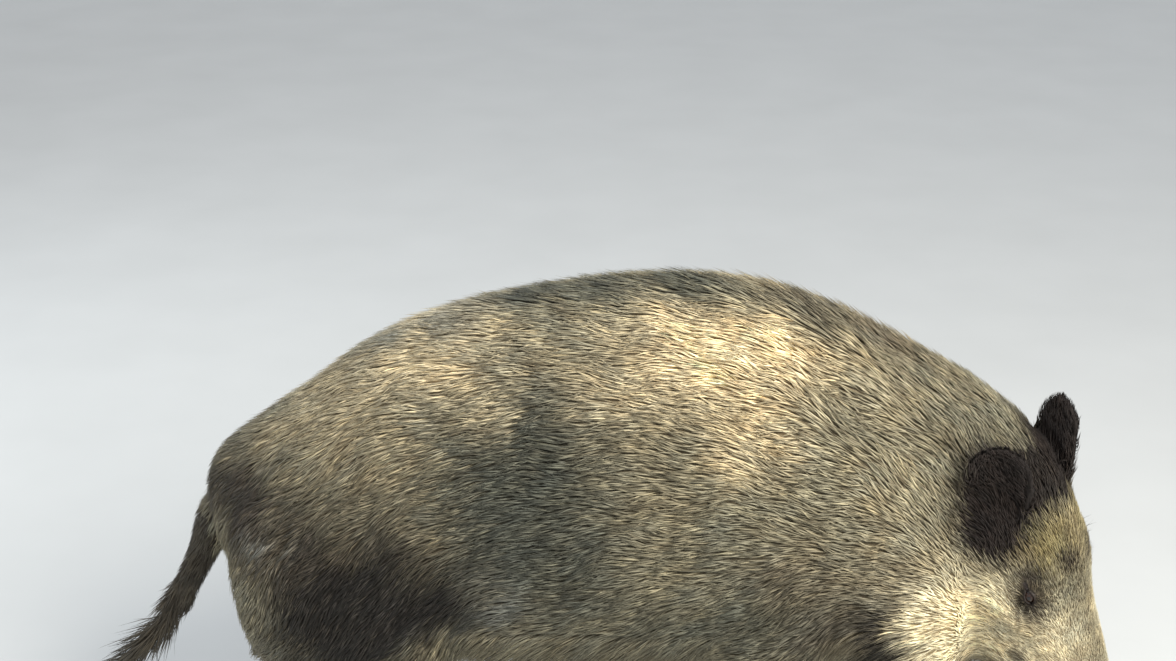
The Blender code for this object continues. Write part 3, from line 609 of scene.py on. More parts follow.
def with_lids(points, side):
    """Round the eyeball the skin rises onto a sphere that is larger by the thickness of the lid. Inside
    the opening it drops behind the ball. Folds run round the opening, deeper above it."""
    out, along, up = eye_axes(side)
    local = points - EYES[side]
    x, y, z = local @ along, local @ up, local @ out
    round_eye = np.hypot(x, y)
    gap = lid_gap(x, y)
    outer = EYE_RADIUS + LID_THICK + 0.0007 * hump(gap - 0.0010, 0.0011)
    shell = np.sqrt(np.maximum(outer**2 - round_eye**2, 0)) - 0.5 * np.maximum(round_eye - outer, 0)
    blend = 0.0045
    lifted = blend * np.log(np.exp(np.clip(z / blend, -30, 30)) + np.exp(np.clip(shell / blend, -30, 30)))
    lifted = z + (lifted - z) * (1 - soft_step(round_eye, 0.016, 0.030))
    fold = 0.0011 * hump(gap - 0.0052, 0.0009) * (y > 0) + 0.0006 * hump(gap - 0.0040, 0.0008) * (y <= 0)
    fold += 0.0007 * hump(gap - 0.0082, 0.0012) + 0.0004 * hump(gap - 0.0110, 0.0010)
    lifted -= fold * (round_eye < 0.026)
    behind = np.sqrt(np.maximum(EYE_RADIUS**2 - round_eye**2, 0)) - 0.0030
    open_share = 1 - soft_step(gap, -0.0006, 0.0003)
    lifted = lifted + (behind - lifted) * open_share
    here = (round_eye < 0.034) & (z > -0.020)
    return points + np.where(here, lifted - z, 0)[:, None] * out


for side in SIDES:
    points = with_lids(points, side)

# %% Mouth, lips and the folds of the muzzle
normals = normals_of(points, faces)
h = in_head(points)
far, high, over = h[:, 0], h[:, 2], over_mouth(h)
corner_far, corner_high = MOUTH_CORNER
on_mouth = band(far, (corner_far - 0.004, corner_far + 0.012), (0.338, 0.346))
groove = -0.0042 * hump(over, 0.0018) * on_mouth
upper_lip = 0.0026 * hump(over - 0.0065, 0.0052) * on_mouth
lower_lip = 0.0012 * hump(over + 0.0050, 0.0040) * on_mouth
corner_fold = 0.0016 * hump(np.hypot(far - corner_far + 0.008, high - corner_high), 0.007)
tusk_lip = np.zeros(len(points))
for sign in SIDES.values():
    apart = lengths_of((h - (0.264, sign * 0.050, -0.050)) / (1.3, 1, 1))
    tusk_lip += 0.0075 * hump(apart, 0.013) * soft_step(-high, 0.026, 0.034)
on_muzzle = band(far, (0.262, 0.285), (0.330, 0.338))
wrinkles = 0.0004 * np.sin(2 * np.pi * (far + 0.10 * high) / 0.0125)
wrinkles *= on_muzzle * soft_step(high, -0.01, 0.02)
cheek_hollow = -0.0060 * hump(high - 0.012, 0.014) * hump(far - 0.190, 0.055)
tear_fold = -0.0025 * hump(high - 0.040 + 0.35 * (far - 0.10), 0.004) * hump(far - 0.118, 0.020)
brow_folds = 0.0012 * np.sin(far / 0.0028) * hump(far - 0.066, 0.022) * hump(high - 0.083, 0.012)
sideways = np.abs(normals @ left)
bridge = -0.0070 * sideways * soft_step(far, 0.12, 0.19) * (1 - soft_step(far, 0.290, 0.325))
bridge *= hump(high - 0.045, 0.034)
rise = groove + upper_lip + lower_lip - corner_fold + tusk_lip + wrinkles
rise = (rise + cheek_hollow + tear_fold + brow_folds + bridge) * (far > 0.02)
points = points + normals * rise[:, None]

# %% [markdown]
# ## Markings
#
# A boar is not one brown. The same list of marks colours the hide and every hair: each is a soft
# ellipsoid round a place on the body, and lies over the ones before it. Its strength falls off as e to
# the power of minus the squared distance, measured in its own radii. Not all of it is the coat's own
# colour: some marks are painted highlights along the back and shoulder, and some are painted shade in
# the flank, armpit, thigh and ears, with a pale patch painted over the shaded underside of the jaw.

# %% The list of marks, painted light among them
OLIVE = (0.262, 0.238, 0.162)
STRAW = (0.640, 0.540, 0.350)
GOLD = (0.950, 0.770, 0.470)
SLATE = (0.110, 0.112, 0.086)
TAN = (0.350, 0.295, 0.188)
BROWN = (0.165, 0.128, 0.085)
AMBER = (0.340, 0.275, 0.095)
SOOT = (0.016, 0.011, 0.009)
PALE = (0.960, 0.850, 0.580)
UMBER = (0.055, 0.045, 0.034)
NIGHT = (0.024, 0.021, 0.018)
GREY = (0.320, 0.325, 0.290)
MOST_SHARE = 0.97  # a marking never covers what lies under it altogether


def in_metres(*marks):
    """Rows of colour, strength, place and radii in mm as (colour, strength, place, radii) in metres."""
    return [(*mark[:2], *(np.array(mark[2:]).reshape(2, 3) / 1000)) for mark in marks]


# colour, strength, place (x, out from the middle, z) and radii in mm
BODY_MARKS_AND_PAINTED_LIGHT = in_metres(
    (TAN, 0.8, -300, 160, 720, 200, 200, 130),
    # painted highlight: straw on the loin, along the top of the rump and the top of the flank, where the
    # light rakes the back
    (STRAW, 1.1, -230, 90, 815, 160, 100, 60),
    (STRAW, 0.5, -400, 60, 735, 120, 70, 50),
    (STRAW, 0.7, 50, 160, 800, 120, 120, 60),
    # partly darker hair, partly painted shade: slate in the hollow of the flank behind the shoulder's bulge
    (SLATE, 1.3, -78, 200, 680, 108, 120, 92),
    (SLATE, 1.25, -72, 220, 560, 112, 140, 100),
    (TAN, 0.45, 80, 230, 640, 70, 100, 110),
    # painted highlight over paler hair: gold on the top of the shoulder and in a band down it, where the
    # light falls
    (GOLD, 1.6, 200, 120, 840, 115, 80, 55),
    (GOLD, 0.75, 235, 200, 750, 58, 80, 70),
    (SLATE, 0.12, 150, 230, 620, 75, 100, 80),
    # painted highlight on the top of the neck
    (STRAW, 0.4, 410, 100, 780, 90, 80, 50),
    (STRAW, 0.22, 420, 180, 640, 90, 100, 120),
    (BROWN, 0.65, 285, 220, 545, 80, 100, 55),
    (SLATE, 0.3, 250, 230, 520, 120, 120, 80),
    # partly darker hair, partly painted shade: slate low on the flank towards the belly, which faces away
    # from the light
    (SLATE, 0.75, 170, 220, 440, 150, 120, 60),
    (UMBER, 0.8, 330, 210, 440, 60, 100, 50),
    (BROWN, 0.3, 420, 210, 520, 80, 100, 55),
    # painted shade: umber and near black in the armpit, between the jowl and the shoulder, where the cheek
    # shades it
    (UMBER, 0.85, 398, 200, 425, 50, 100, 80),
    (NIGHT, 2.2, 446, 200, 406, 33, 100, 72),
    (PALE, 1.7, 509, 230, 425, 34, 100, 56),
    (GREY, 0.6, -135, 200, 480, 50, 100, 50),
    # partly dark hair, partly painted shade: the lower thigh and hind flank, on the side turned away from
    # the light, near black
    (UMBER, 0.95, -330, 210, 550, 155, 100, 72),
    (NIGHT, 1.8, -318, 220, 470, 112, 120, 80),
    (NIGHT, 0.8, -400, 200, 420, 80, 100, 70),
    (NIGHT, 1.1, -225, 200, 470, 55, 100, 45),
    (UMBER, 1, -430, 170, 550, 60, 90, 45),
    (TAN, 0.15, -520, 120, 420, 45, 100, 70),
    (UMBER, 1.4, -498, 130, 600, 50, 100, 60),
    (GREY, 0.75, -472, 170, 560, 18, 50, 14),
    (UMBER, 1.2, -520, 0, 580, 50, 55, 60),
    (UMBER, 0.6, 0, 0, 300, 400, 140, 50),
    (GREY, 0.7, -280, 0, 840, 140, 40, 30),
    (SLATE, 1, -80, 0, 895, 140, 50, 26),
    (SLATE, 1.3, 120, 0, 920, 180, 55, 26),
    (UMBER, 0.8, 350, 0, 868, 100, 45, 30),
    (BROWN, 0.8, 470, 0, 815, 100, 50, 40),
)
# the same in head axes: ahead, out, above
HEAD_MARKS_AND_PAINTED_LIGHT = in_metres(
    (PALE, 2, 90, 150, -70, 85, 75, 66),
    (PALE, 1.05, 85, 105, 10, 52, 40, 30),
    # painted light over pale hair: pale laid on the cheek's underside and the jaw, which face down into
    # shade, so that they look lit
    (PALE, 1.2, 145, 80, -50, 50, 50, 50),
    (PALE, 0.7, 165, 60, 50, 60, 60, 45),
    (PALE, 0.45, 230, 50, 30, 50, 50, 40),
    (TAN, 0.6, 10, 0, 120, 60, 60, 30),
    (AMBER, 0.6, 20, 45, 100, 45, 60, 35),
    (UMBER, 1.15, 58, 32, 110, 22, 24, 18),
    (UMBER, 1, 58, 80, 69, 26, 40, 19),
    (UMBER, 1.5, 86, 80, 57, 24, 40, 19),
    (UMBER, 0.95, 112, 78, 43, 26, 40, 18),
    (BROWN, 0.3, 120, 100, -12, 20, 30, 12),
    (BROWN, 0.25, 60, 120, -35, 16, 30, 16),
    (UMBER, 0.9, 180, 75, -12, 16, 30, 10),
    (UMBER, 0.8, 325, 0, 10, 24, 80, 60),
    (UMBER, 0.7, 270, 50, -30, 70, 50, 10),
    (BROWN, 0.7, 240, 30, -85, 90, 50, 30),
)
# partly the ears' own dark hair, partly painted shade: each whole ear, its inside too, its root and the poll
# between the ears are near black
EAR_DARK_AND_PAINTED_SHADE = [(SOOT, 2.4, EAR_ROOT + EAR_WAY * EAR_LENGTH * share, (0.044, 0.044, 0.040))
             for share in (0.15, 0.45, 0.75, 1.0)]
EAR_DARK_AND_PAINTED_SHADE += in_metres((SOOT, 2.2, -20, 100, 50, 34, 40, 32), (SOOT, 3.2, -68, 34, 112, 38, 48, 34))
LEG_DARK = (0.20, 0.32)  # the heights between which the legs turn dark


def noise_at(points, wave, count=14, seed=3):
    """A smooth random number for each point: the mean of waves of about the given length that run in
    random directions, scaled to about -1 to 1."""
    draw = np.random.default_rng(seed)
    ways = unit(draw.normal(size=(count, 3))) * (2 * np.pi / wave) * draw.uniform(0.6, 1.5, (count, 1))
    phase = draw.uniform(0, 2 * np.pi, count)
    return np.sin(points @ ways.T + phase).sum(1) / math.sqrt(count / 2) / 1.6


def wandered(points, *steps):
    """Points moved by smooth noise, for each step by about its size along its wave, so that the edge of a
    marking wanders."""
    moved = points.copy()
    for size, wave in steps:
        moved += size * np.stack([noise_at(points, wave, seed=21 + k) for k in range(3)], 1)
    return moved


def painted(colour, paint, share):
    """Colours drawn towards a paint by a share, from 0 to 1, for each point."""
    return colour + (np.array(paint) - colour) * share[:, None]


def markings_and_painted_light(points, part):
    """The colour of the coat at each point, as linear red, green and blue, painted highlights and painted
    shade included.
    """
    colour = np.tile(np.array(OLIVE), (len(points), 1))
    body = wandered(points, (0.020, 0.12), (0.008, 0.04))
    h = in_head(wandered(points, (0.004, 0.03)))
    mirrored, face = (np.stack([some[:, 0], np.abs(some[:, 1]), some[:, 2]], 1) for some in (body, h))
    for marks, place in ((HEAD_MARKS_AND_PAINTED_LIGHT, face), (BODY_MARKS_AND_PAINTED_LIGHT, mirrored), (EAR_DARK_AND_PAINTED_SHADE, face)):
        for paint, strength, centre, radii in marks:
            share = strength * np.exp(-(((place - centre) / radii) ** 2).sum(1))
            colour = painted(colour, paint, np.minimum(share, MOST_SHARE))
    legs = 1 - soft_step(points[:, 2], *LEG_DARK)
    legs *= ~is_of(part, "head", "tail", "neck", "ear_left", "ear_right")
    colour = painted(colour, UMBER, 0.88 * legs)
    # partly dark hair, partly painted shade: the ears, inside and out, are drawn almost all the way to black
    colour = painted(colour, SOOT, 0.97 * is_of(part, "ear_left", "ear_right"))
    return painted(colour, UMBER, 0.90 * is_of(part, "tail"))


# %% [markdown]
# ## Shader maths in plain Python
#
# A finish is easier to read as a formula than as a web of nodes. `Wire` wraps a socket so that Python's
# own arithmetic adds the Math nodes, and `Finish` holds one material and makes every other node.


# %% Wires and finishes
class Wire:
    """A node's output, with Python's arithmetic on it."""

    def __init__(self, finish, socket):
        self.finish, self.socket = finish, socket

    def __add__(self, other):
        return self.finish.maths("ADD", self, other)

    def __rsub__(self, other):
        return self.finish.maths("SUBTRACT", other, self)

    def __mul__(self, other):
        return self.finish.maths("MULTIPLY", self, other)


class Finish:
    """One material with a Principled shader. Settings that are the same all over go onto its sockets."""

    def __init__(self, name, **constants):
        self.material = bpy.data.materials.new(name)
        self.material.use_nodes = True
        self.tree = self.material.node_tree
        self.shader = self.tree.nodes["Principled BSDF"]
        for socket, value in constants.items():
            self.shader.inputs[socket.replace("_", " ")].default_value = value

    def node(self, kind, inputs=(), output=0, **settings):
        """A new node, with wires or plain values in its inputs."""
        made = self.tree.nodes.new(kind)
        for key, value in settings.items():
            setattr(made, key, value)
        for key, value in dict(inputs).items():
            if isinstance(value, Wire):
                self.tree.links.new(value.socket, made.inputs[key])
            else:
                made.inputs[key].default_value = value
        return Wire(self, made.outputs[output])

    def maths(self, operation, *values):
        """One Math node."""
        return self.node("ShaderNodeMath", enumerate(values), operation=operation)

    def mix(self, share, first, second, blend="MIX"):
        """The first colour at share 0, the second at share 1."""
        first, second = ((*c, 1) if isinstance(c, tuple) else c for c in (first, second))
        inputs = {0: share, 6: first, 7: second}
        return self.node("ShaderNodeMix", inputs, 2, data_type="RGBA", blend_type=blend)

    def tint(self, colour, by):
        """A colour times another, channel by channel."""
        return self.mix(1.0, colour, by, "MULTIPLY")

    def clamp(self, value, low, high):
        """Value mapped so that low becomes 0 and high becomes 1, and kept between them."""
        inputs = {"Value": value, "From Min": low, "From Max": high}
        return self.node("ShaderNodeMapRange", inputs, interpolation_type="SMOOTHSTEP")

    def attribute(self, name, output="Fac"):
        """A number or a colour that the mesh carries at its points."""
        return self.node("ShaderNodeAttribute", (), output, attribute_name=name)

    def place(self):
        """The place on the object in metres."""
        return self.node("ShaderNodeTexCoord", (), "Object")

    def noise(self, scale, detail, rough=0.5):
        """Soft noise from 0 to 1, with scale bumps to a metre."""
        inputs = {"Vector": self.place(), "Scale": scale, "Detail": detail, "Roughness": rough}
        return self.node("ShaderNodeTexNoise", inputs, "Fac")

    def feed(self, socket, wire):
        """A wire into a socket of the shader."""
        self.tree.links.new(wire.socket, self.shader.inputs[socket])

    def bump(self, height, distance, strength):
        """Relief from a height of 0 to 1 times distance in metres."""
        inputs = {"Height": height, "Distance": distance, "Strength": strength}
        self.feed("Normal", self.node("ShaderNodeBump", inputs, "Normal"))


# %% Coat and hide
def bristle_finish():
    """A bristle is dark at its root, takes the marking's colour in the middle and pales to its tip. Tone,
    a number that each tuft draws, makes some dark all along and some straw: pepper and salt."""
    f = Finish("bristle", Roughness=0.62, Specular_IOR_Level=0.30)
    mark, tone, along = f.attribute("mark", "Color"), f.attribute("tone"), f.attribute("along")
    dark = f.tint(mark, (0.68, 0.65, 0.62))
    light = f.tint(mark, (1.38, 1.35, 1.28))
    body = f.mix(f.clamp(tone, 0.12, 0.42), dark, mark)
    body = f.mix(f.clamp(tone, 0.62, 0.95), body, light)
    root = f.tint(body, (0.80, 0.77, 0.74))
    whole = f.mix(f.clamp(along, 0.02, 0.45), root, body)
    f.feed("Base Color", f.mix(f.clamp(along, 0.65, 1.0) * 0.6, whole, f.tint(body, (1.30, 1.27, 1.20))))
    return f.material


def hide_finish():
    """Under the hair the hide has the marking's colour, darker, streaked by the short hair that lies flat
    on it. Bare skin round the eyes and lips is dark grey brown and finely wrinkled."""
    f = Finish("hide", Specular_IOR_Level=0.35)
    mark, bare = f.attribute("mark", "Color"), f.attribute("bare")
    grain, fine = f.noise(420.0, 3.0, 0.6), f.noise(1500.0, 2.0)
    cover = f.tint(mark, (0.62, 0.58, 0.54))
    shade = f.mix(f.clamp(grain, 0.35, 0.66), f.tint(cover, (0.78, 0.75, 0.73)), cover)
    skin = f.mix(f.clamp(grain, 0.3, 0.7), (0.018, 0.013, 0.011), (0.042, 0.031, 0.026))
    f.feed("Base Color", f.mix(bare, shade, skin))
    f.feed("Roughness", 0.82 - bare * 0.30)
    f.bump(grain * 0.6 + fine * 0.4, 0.0012, 0.8)
    return f.material


BRISTLE, HIDE = bristle_finish(), hide_finish()

# %% Laying the markings on the skin
SNOUT_BARE = (0.328, 0.334)  # from here to there, ahead in the head's axes, hair gives way to bare skin
normals = normals_of(points, faces)
depth, length, width, flow, part = lie_of(points)
bare = np.zeros(len(points))
for side in SIDES:
    gap, on_eye = by_lids(points, side, 0.024)
    bare = np.maximum(bare, on_eye * (1 - soft_step(gap, 0.0016, 0.0042)))
h = in_head(points)
lips = hump(over_mouth(h), 0.0030) * soft_step(h[:, 0], 0.16, 0.18)
bare = np.maximum(bare, lips * (h[:, 0] > 0.1))
bare = np.maximum(bare, soft_step(h[:, 0], *SNOUT_BARE))


def add_attribute(piece, name, values):
    """A number, or a colour as red, green and blue, for each point of a piece."""
    kind, key = ("FLOAT", "value") if values.ndim == 1 else ("FLOAT_COLOR", "color")
    if values.ndim == 2:
        values = np.concatenate([values, np.ones((len(values), 1))], 1)
    layer = piece.data.attributes.new(name, kind, "POINT")
    layer.data.foreach_set(key, np.ascontiguousarray(values, np.float32).ravel())


skin = new_piece("skin", points, faces, HIDE)
# the mark colour carries the painted highlights and painted shade as well as the coat's own colours
add_attribute(skin, "mark", markings_and_painted_light(points, part))
add_attribute(skin, "bare", bare)
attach(skin, "root")
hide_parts(*BODY_NODES, *EAR_NODES, "tail_tassel")

# %% [markdown]
# ## Eyes
#
# A boar's eye is small, brown and nearly black at a glance. The ball is a sphere with the clear bulge of
# the cornea at its front. Each point knows how far it lies off the line of sight, and from that one
# number the finish makes pupil, iris and the dark rim round it. A clear wet layer gives the glint.


# %% Eyeballs
def eye_finish():
    """Black within 0.2 rad of the line of sight, brown iris with spokes of noise to 0.7, and a dark rim."""
    f = Finish("wet eye", Roughness=0.25, Specular_IOR_Level=0.2, Coat_Weight=0.7, Coat_Roughness=0.02)
    off = f.attribute("off_sight")
    spokes = f.noise(900.0, 3.0, 0.7)
    iris = f.mix(f.clamp(spokes, 0.35, 0.65), (0.014, 0.006, 0.003), (0.036, 0.015, 0.006))
    inner = f.mix(f.clamp(off, 0.20, 0.25), (0.002, 0.002, 0.002), iris)
    f.feed("Base Color", f.mix(f.clamp(off, 0.62, 0.74), inner, (0.012, 0.008, 0.006)))
    return f.material


def eyeball(side):
    """Rings round the line of sight: at an angle a off it the radius is the ball's, plus 0.9 mm times a
    bell of a over 0.45."""
    out, along, up = eye_axes(side)
    angle = np.linspace(0.02, np.pi - 0.02, 40)[:, None, None]
    radius = EYE_RADIUS - 0.0004 + 0.0009 * hump(angle, 0.45)
    ways = np.cos(angle) * out + np.sin(angle) * circle(EYE_SIDES, along, up)
    points, faces = closed_rings(EYES[side] + radius * ways)
    piece = new_piece("eyeball_" + side, points, faces, EYE)
    add_attribute(piece, "off_sight", np.append(np.repeat(angle, EYE_SIDES), (0, np.pi)))
    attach(piece, "root")
    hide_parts("eye_" + side)


EYE, EYE_SIDES = eye_finish(), 48
for side in SIDES:
    eyeball(side)

# %% [markdown]
# ## Tusks
#
# The lower tusks of a grown boar leave the lip, swing outwards and curve up. Each is a circle carried
# along that curve and drawn in to a worn point. Ivory is stained brown at the gum and has fine growth
# lines round it, so colour and relief follow the distance along the tusk.

# %% Tusks
TUSK_AT = (0.264, 0.046, -0.050)
TUSK_LENGTH = 0.068
TUSK_RADIUS = 0.0070
TUSK_SIDES = 24


def ivory_finish():
    """Stained brown at the gum, clean past half its length, with noise to unsettle the edge, and growth
    lines as a wave along the height."""
    f = Finish("ivory", Roughness=0.34, Specular_IOR_Level=0.5)
    along, grain = f.attribute("along"), f.noise(160.0, 3.0)
    clean = f.mix(f.clamp(grain, 0.35, 0.7), (0.640, 0.540, 0.380), (0.760, 0.690, 0.540))
    f.feed("Base Color", f.mix(f.clamp(along + grain * 0.25, 0.18, 0.62), (0.180, 0.110, 0.055), clean))
    rings = f.node("ShaderNodeTexWave", {"Scale": 260.0, "Distortion": 2.0}, bands_direction="Z")
    f.bump(rings, 0.0002, 0.6)
    return f.material


def tusk(side):
    """At a share u of its length the middle lies at TUSK_AT plus 0.16 sin(2.6 u) ahead, 0.48 sin(1.3 u)
    out and 0.88 u up, in tusk lengths, and the radius is 1 - 0.88 u^1.6 of the thickest. Its root bends
    inwards, under the lip."""
    u = np.linspace(-0.20, 1, 40)
    swing = 1.3 * u
    out = 0.48 * np.sin(swing) - 1.1 * np.maximum(0.24 - u, 0) ** 1.3
    middle = np.stack([
        TUSK_AT[0] + TUSK_LENGTH * 0.16 * np.sin(2 * swing),
        SIDES[side] * (TUSK_AT[1] + TUSK_LENGTH * out),
        TUSK_AT[2] + TUSK_LENGTH * 0.88 * u,
    ], 1)
    radii = TUSK_RADIUS * (1 - 0.88 * np.clip(u, 0, 1) ** 1.6)
    points, faces = tube_along(from_head(middle), radii, TUSK_SIDES)
    piece = new_piece("long_tusk_" + side, points, faces, IVORY)
    add_attribute(piece, "along", np.append(np.repeat(u, TUSK_SIDES), (u[0], 1)))
    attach(piece, "root")
    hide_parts("tusk_" + side)


IVORY = ivory_finish()
for side in SIDES:
    tusk(side)

# %% [markdown]
# ## The snout
#
# The disc of the snout is bare, tough and damp. It is turned from a profile: a collar that comes out of
# the muzzle, a rounded rim and a nearly flat face, with two nostrils that run back into it.

# %% Snout disc
# distance ahead of the ear line, size as a share of the rim
SNOUT_PROFILE = np.array([
    (0.322, 0.80), (0.334, 0.86), (0.341, 0.93), (0.348, 0.985), (0.356, 1.015), (0.3625, 1.010),
    (0.3672, 0.965), (0.3690, 0.90), (0.3692, 0.78), (0.3686, 0.55), (0.3684, 0.30), (0.3686, 0.02),
])
SNOUT_WIDE, SNOUT_TALL, SNOUT_LIFT, SNOUT_LEAN = 0.0432, 0.0412, 0.004, 0.10
NOSTRIL_OUT, NOSTRIL_UP = 0.0168, 0.0075
NOSTRIL_WIDE, NOSTRIL_TALL, NOSTRIL_DEEP = 0.0070, 0.0092, 0.014
OVAL = 2.3  # the power in the snout's outline: 2 would be an ellipse


def snout_finish():
    """Patches of dark and rosy skin from noise, small pads from the distance to the edge of random cells,
    and painted shade: near black where the surface is pushed in for a nostril."""
    f = Finish("damp leather", Specular_IOR_Level=0.5, Coat_Weight=0.25, Coat_Roughness=0.25)
    inputs = {"Vector": f.place(), "Scale": 420.0}
    cells = f.node("ShaderNodeTexVoronoi", inputs, feature="DISTANCE_TO_EDGE")
    patches = f.noise(60.0, 4.0, 0.6)
    pads = f.clamp(cells, 0.0, 0.22)
    rim = f.mix(f.clamp(patches, 0.35, 0.68), (0.040, 0.028, 0.026), (0.110, 0.072, 0.064))
    # painted shade: the nostrils are coloured near black by how far they are pushed in
    f.feed("Base Color", f.mix(f.clamp(f.attribute("nostril_depth_and_shade"), 0.15, 0.85), rim, (0.006, 0.003, 0.003)))
    f.feed("Roughness", 0.62 - pads * 0.22)
    f.bump(pads + patches * 0.5, 0.0006, 0.9)
    return f.material


def snout():
    """Rings of an oval, (|side| / wide)^2.3 + (|up| / tall)^2.3 = size^2.3, along the profile. Inside a
    nostril's oval the face is pushed back by up to NOSTRIL_DEEP."""
    share = np.linspace(0, len(SNOUT_PROFILE) - 1, 90)
    far, size = (np.interp(share, np.arange(len(SNOUT_PROFILE)), SNOUT_PROFILE[:, k]) for k in (0, 1))
    soft = np.ones(5) / 5
    far[2:-2], size[2:-2] = np.convolve(far, soft, "valid"), np.convolve(size, soft, "valid")
    c, s = np.cos(turns(120)), np.sin(turns(120))
    side = SNOUT_WIDE * np.sign(s) * np.abs(s) ** (2 / OVAL) * size[:, None]
    up = SNOUT_TALL * np.sign(c) * np.abs(c) ** (2 / OVAL) * size[:, None]
    along = far[:, None] - SNOUT_LEAN * up
    face = soft_step(far, 0.360, 0.367)[:, None]
    aside = (np.abs(side) - NOSTRIL_OUT - 0.18 * up) / NOSTRIL_WIDE
    reach = np.hypot(aside, (up - NOSTRIL_UP) / NOSTRIL_TALL)
    nostril_depth_and_shade = face * (1 - soft_step(reach, 0.45, 1.05))
    along = along - NOSTRIL_DEEP * nostril_depth_and_shade + 0.0011 * face * hump(reach - 1.28, 0.22)
    along = along - 0.0012 * face * hump(side, 0.0016) * (up < 0.004)
    points, faces = closed_rings(from_head(np.stack([along, side, up + SNOUT_LIFT], -1)))
    piece = new_piece("snout_disc", points, faces, snout_finish())
    add_attribute(piece, "nostril_depth_and_shade", np.append(nostril_depth_and_shade.ravel(), (0, 0)))
    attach(piece, "root")
    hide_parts("snout")


snout()

# %% [markdown]
# ## Hooves
#
# A boar walks on two claws and carries two dewclaws behind. Horn grows down from the hair in rings and
# wears pale and ragged at the sole. Each claw is its outline carried up its wall, from a flat sole to a
# crown that ends inside the foot.

# %% Hooves
# height as a share of the claw, then its length, width and how far the heel stands in
CLAW_PROFILE = np.array([
    (0.00, 0.945, 0.880, 0.020), (0.03, 0.985, 0.960, 0.005), (0.12, 0.990, 1.000, 0.000),
    (0.35, 0.900, 0.980, 0.006), (0.60, 0.790, 0.930, 0.022), (0.80, 0.700, 0.860, 0.045),
    (1.00, 0.590, 0.760, 0.080), (1.35, 0.420, 0.520, 0.150),
])
CLAW_HEIGHT = 0.040
CLAW_TURN_IN = 0.006
CLAW_SIDES = 64
DEWCLAW_LENGTH, DEWCLAW_RADIUS = 0.034, 0.0104
DEWCLAW_SIDES = 32


def horn_finish():
    """Pale at the sole and dark above a third of the height, with noise to unsettle the edge."""
    f = Finish("horn", Specular_IOR_Level=0.45)
    along, blotch, grain = f.attribute("along"), f.noise(45.0, 4.0, 0.6), f.noise(700.0, 2.0)
    dark = f.mix(f.clamp(blotch, 0.35, 0.65), (0.022, 0.018, 0.016), (0.060, 0.050, 0.042))
    f.feed("Base Color", f.mix(f.clamp(along + blotch * 0.20, 0.10, 0.34), (0.170, 0.140, 0.105), dark))
    f.feed("Roughness", grain * 0.30 + 0.42)
    f.bump(grain, 0.0005, 0.6)
    return f.material


def claw(node, across):
    """A sole outline, heel at 0 and toe at 1, half a width each side times 1.08 - 0.42 x, carried up the
    wall with growth rings of half a millimetre every five."""
    low, high = np.array(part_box(node))
    share = np.concatenate([[0, 0.012], np.linspace(0.03, 1.35, 54)])
    long, wide, heel = (np.interp(share, CLAW_PROFILE[:, 0], CLAW_PROFILE[:, k])[:, None] for k in (1, 2, 3))
    rings = 1 + 0.008 * np.sin(2 * np.pi * share * CLAW_HEIGHT / 0.0052)[:, None] * (share > 0.1)[:, None]
    turn = turns(CLAW_SIDES)
    x = 0.5 - 0.5 * np.cos(turn)
    y = 0.5 * np.sin(turn) * (1.08 - 0.42 * x)
    length, width = high[0] - low[0], (high[1] - low[1]) / 0.90
    px = low[0] + length * heel + length * long * (0.5 + (x - 0.5) * rings)
    turn_in = across * CLAW_TURN_IN * (np.maximum(x - 0.5, 0) - 0.12)
    py = (low[1] + high[1]) / 2 + width * wide * rings * y - turn_in
    pz = np.repeat(CLAW_HEIGHT * share[:, None], CLAW_SIDES, 1)
    points, faces = closed_rings(np.stack([px, py, pz], -1))
    return points, faces, np.append(np.repeat(share, CLAW_SIDES), (0, 1.35))


def dewclaw(node, across):
    """A blunt cone that points down, back and out. Its radius is a bell-shaped share of the thickest."""
    low, high = np.array(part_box(node))
    way = unit(np.array((-0.42, across * 0.30, -0.86)))
    share = np.linspace(0, 1, 30)
    size = np.interp(share, (0, 0.3, 0.6, 0.85, 0.96, 1), (0.45, 0.84, 0.80, 0.54, 0.32, 0.10))
    path = (low + high) / 2 + way * DEWCLAW_LENGTH * (share - 0.53)[:, None]
    path[:, 0] += 0.010 * (1 - share) ** 2
    points, faces = tube_along(path, DEWCLAW_RADIUS * size * (1 + 0.02 * np.sin(share * 50)), DEWCLAW_SIDES)
    return points, faces, np.append(np.repeat(1.1 - share, DEWCLAW_SIDES), (1.1, 0.1))


HORN = horn_finish()
for node in sorted(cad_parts):
    kind, _, rest = node.partition("_")
    if kind in ("hoof", "dewclaw"):
        side, place = rest.split("_")[1:]
        across = SIDES[side] * (1 if place == "outer" else -1)
        *surface, from_sole = (claw if kind == "hoof" else dewclaw)(node, across)
        name = node.replace("hoof", "horn").replace("dewclaw", "spur")
        piece = new_piece(name, *surface, HORN)
        add_attribute(piece, "along", from_sole)
        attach(piece, "root")
        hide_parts(node)

# %% [markdown]
# ## The coat
#
# A render engine's hair is lost when a model is exported, so the coat here is mesh: about a hundred and
# thirty thousand tufts. Each is a thin three-sided spike with one bend, ten triangles, that leaves the
# hide at a low angle and runs along the lie of the coat. Its root is drawn at random, its middle and tip
# are found by stepping along the flow and dropping back to the hide.

# %% Where the tufts stand
COVER = ((3, 1.8), (6, 2.3), (10, 2.8), (16, 3.1))  # layers of hair for each depth of the coat in mm
BELLY_OF_TUFT = 0.62  # the share of length times width that a tuft covers
TASSEL_FROM = -0.628  # past here the tail is all tassel, and its hair hangs free of the hide
TASSEL_COVER = 2.4  # times as many tufts as elsewhere
MOST_BARE = 0.35  # barer skin than this grows no hair
HORN_BELOW = 0.043  # below this height a foot is horn
PROBE = 0.012  # how far above the skin a step over it ends


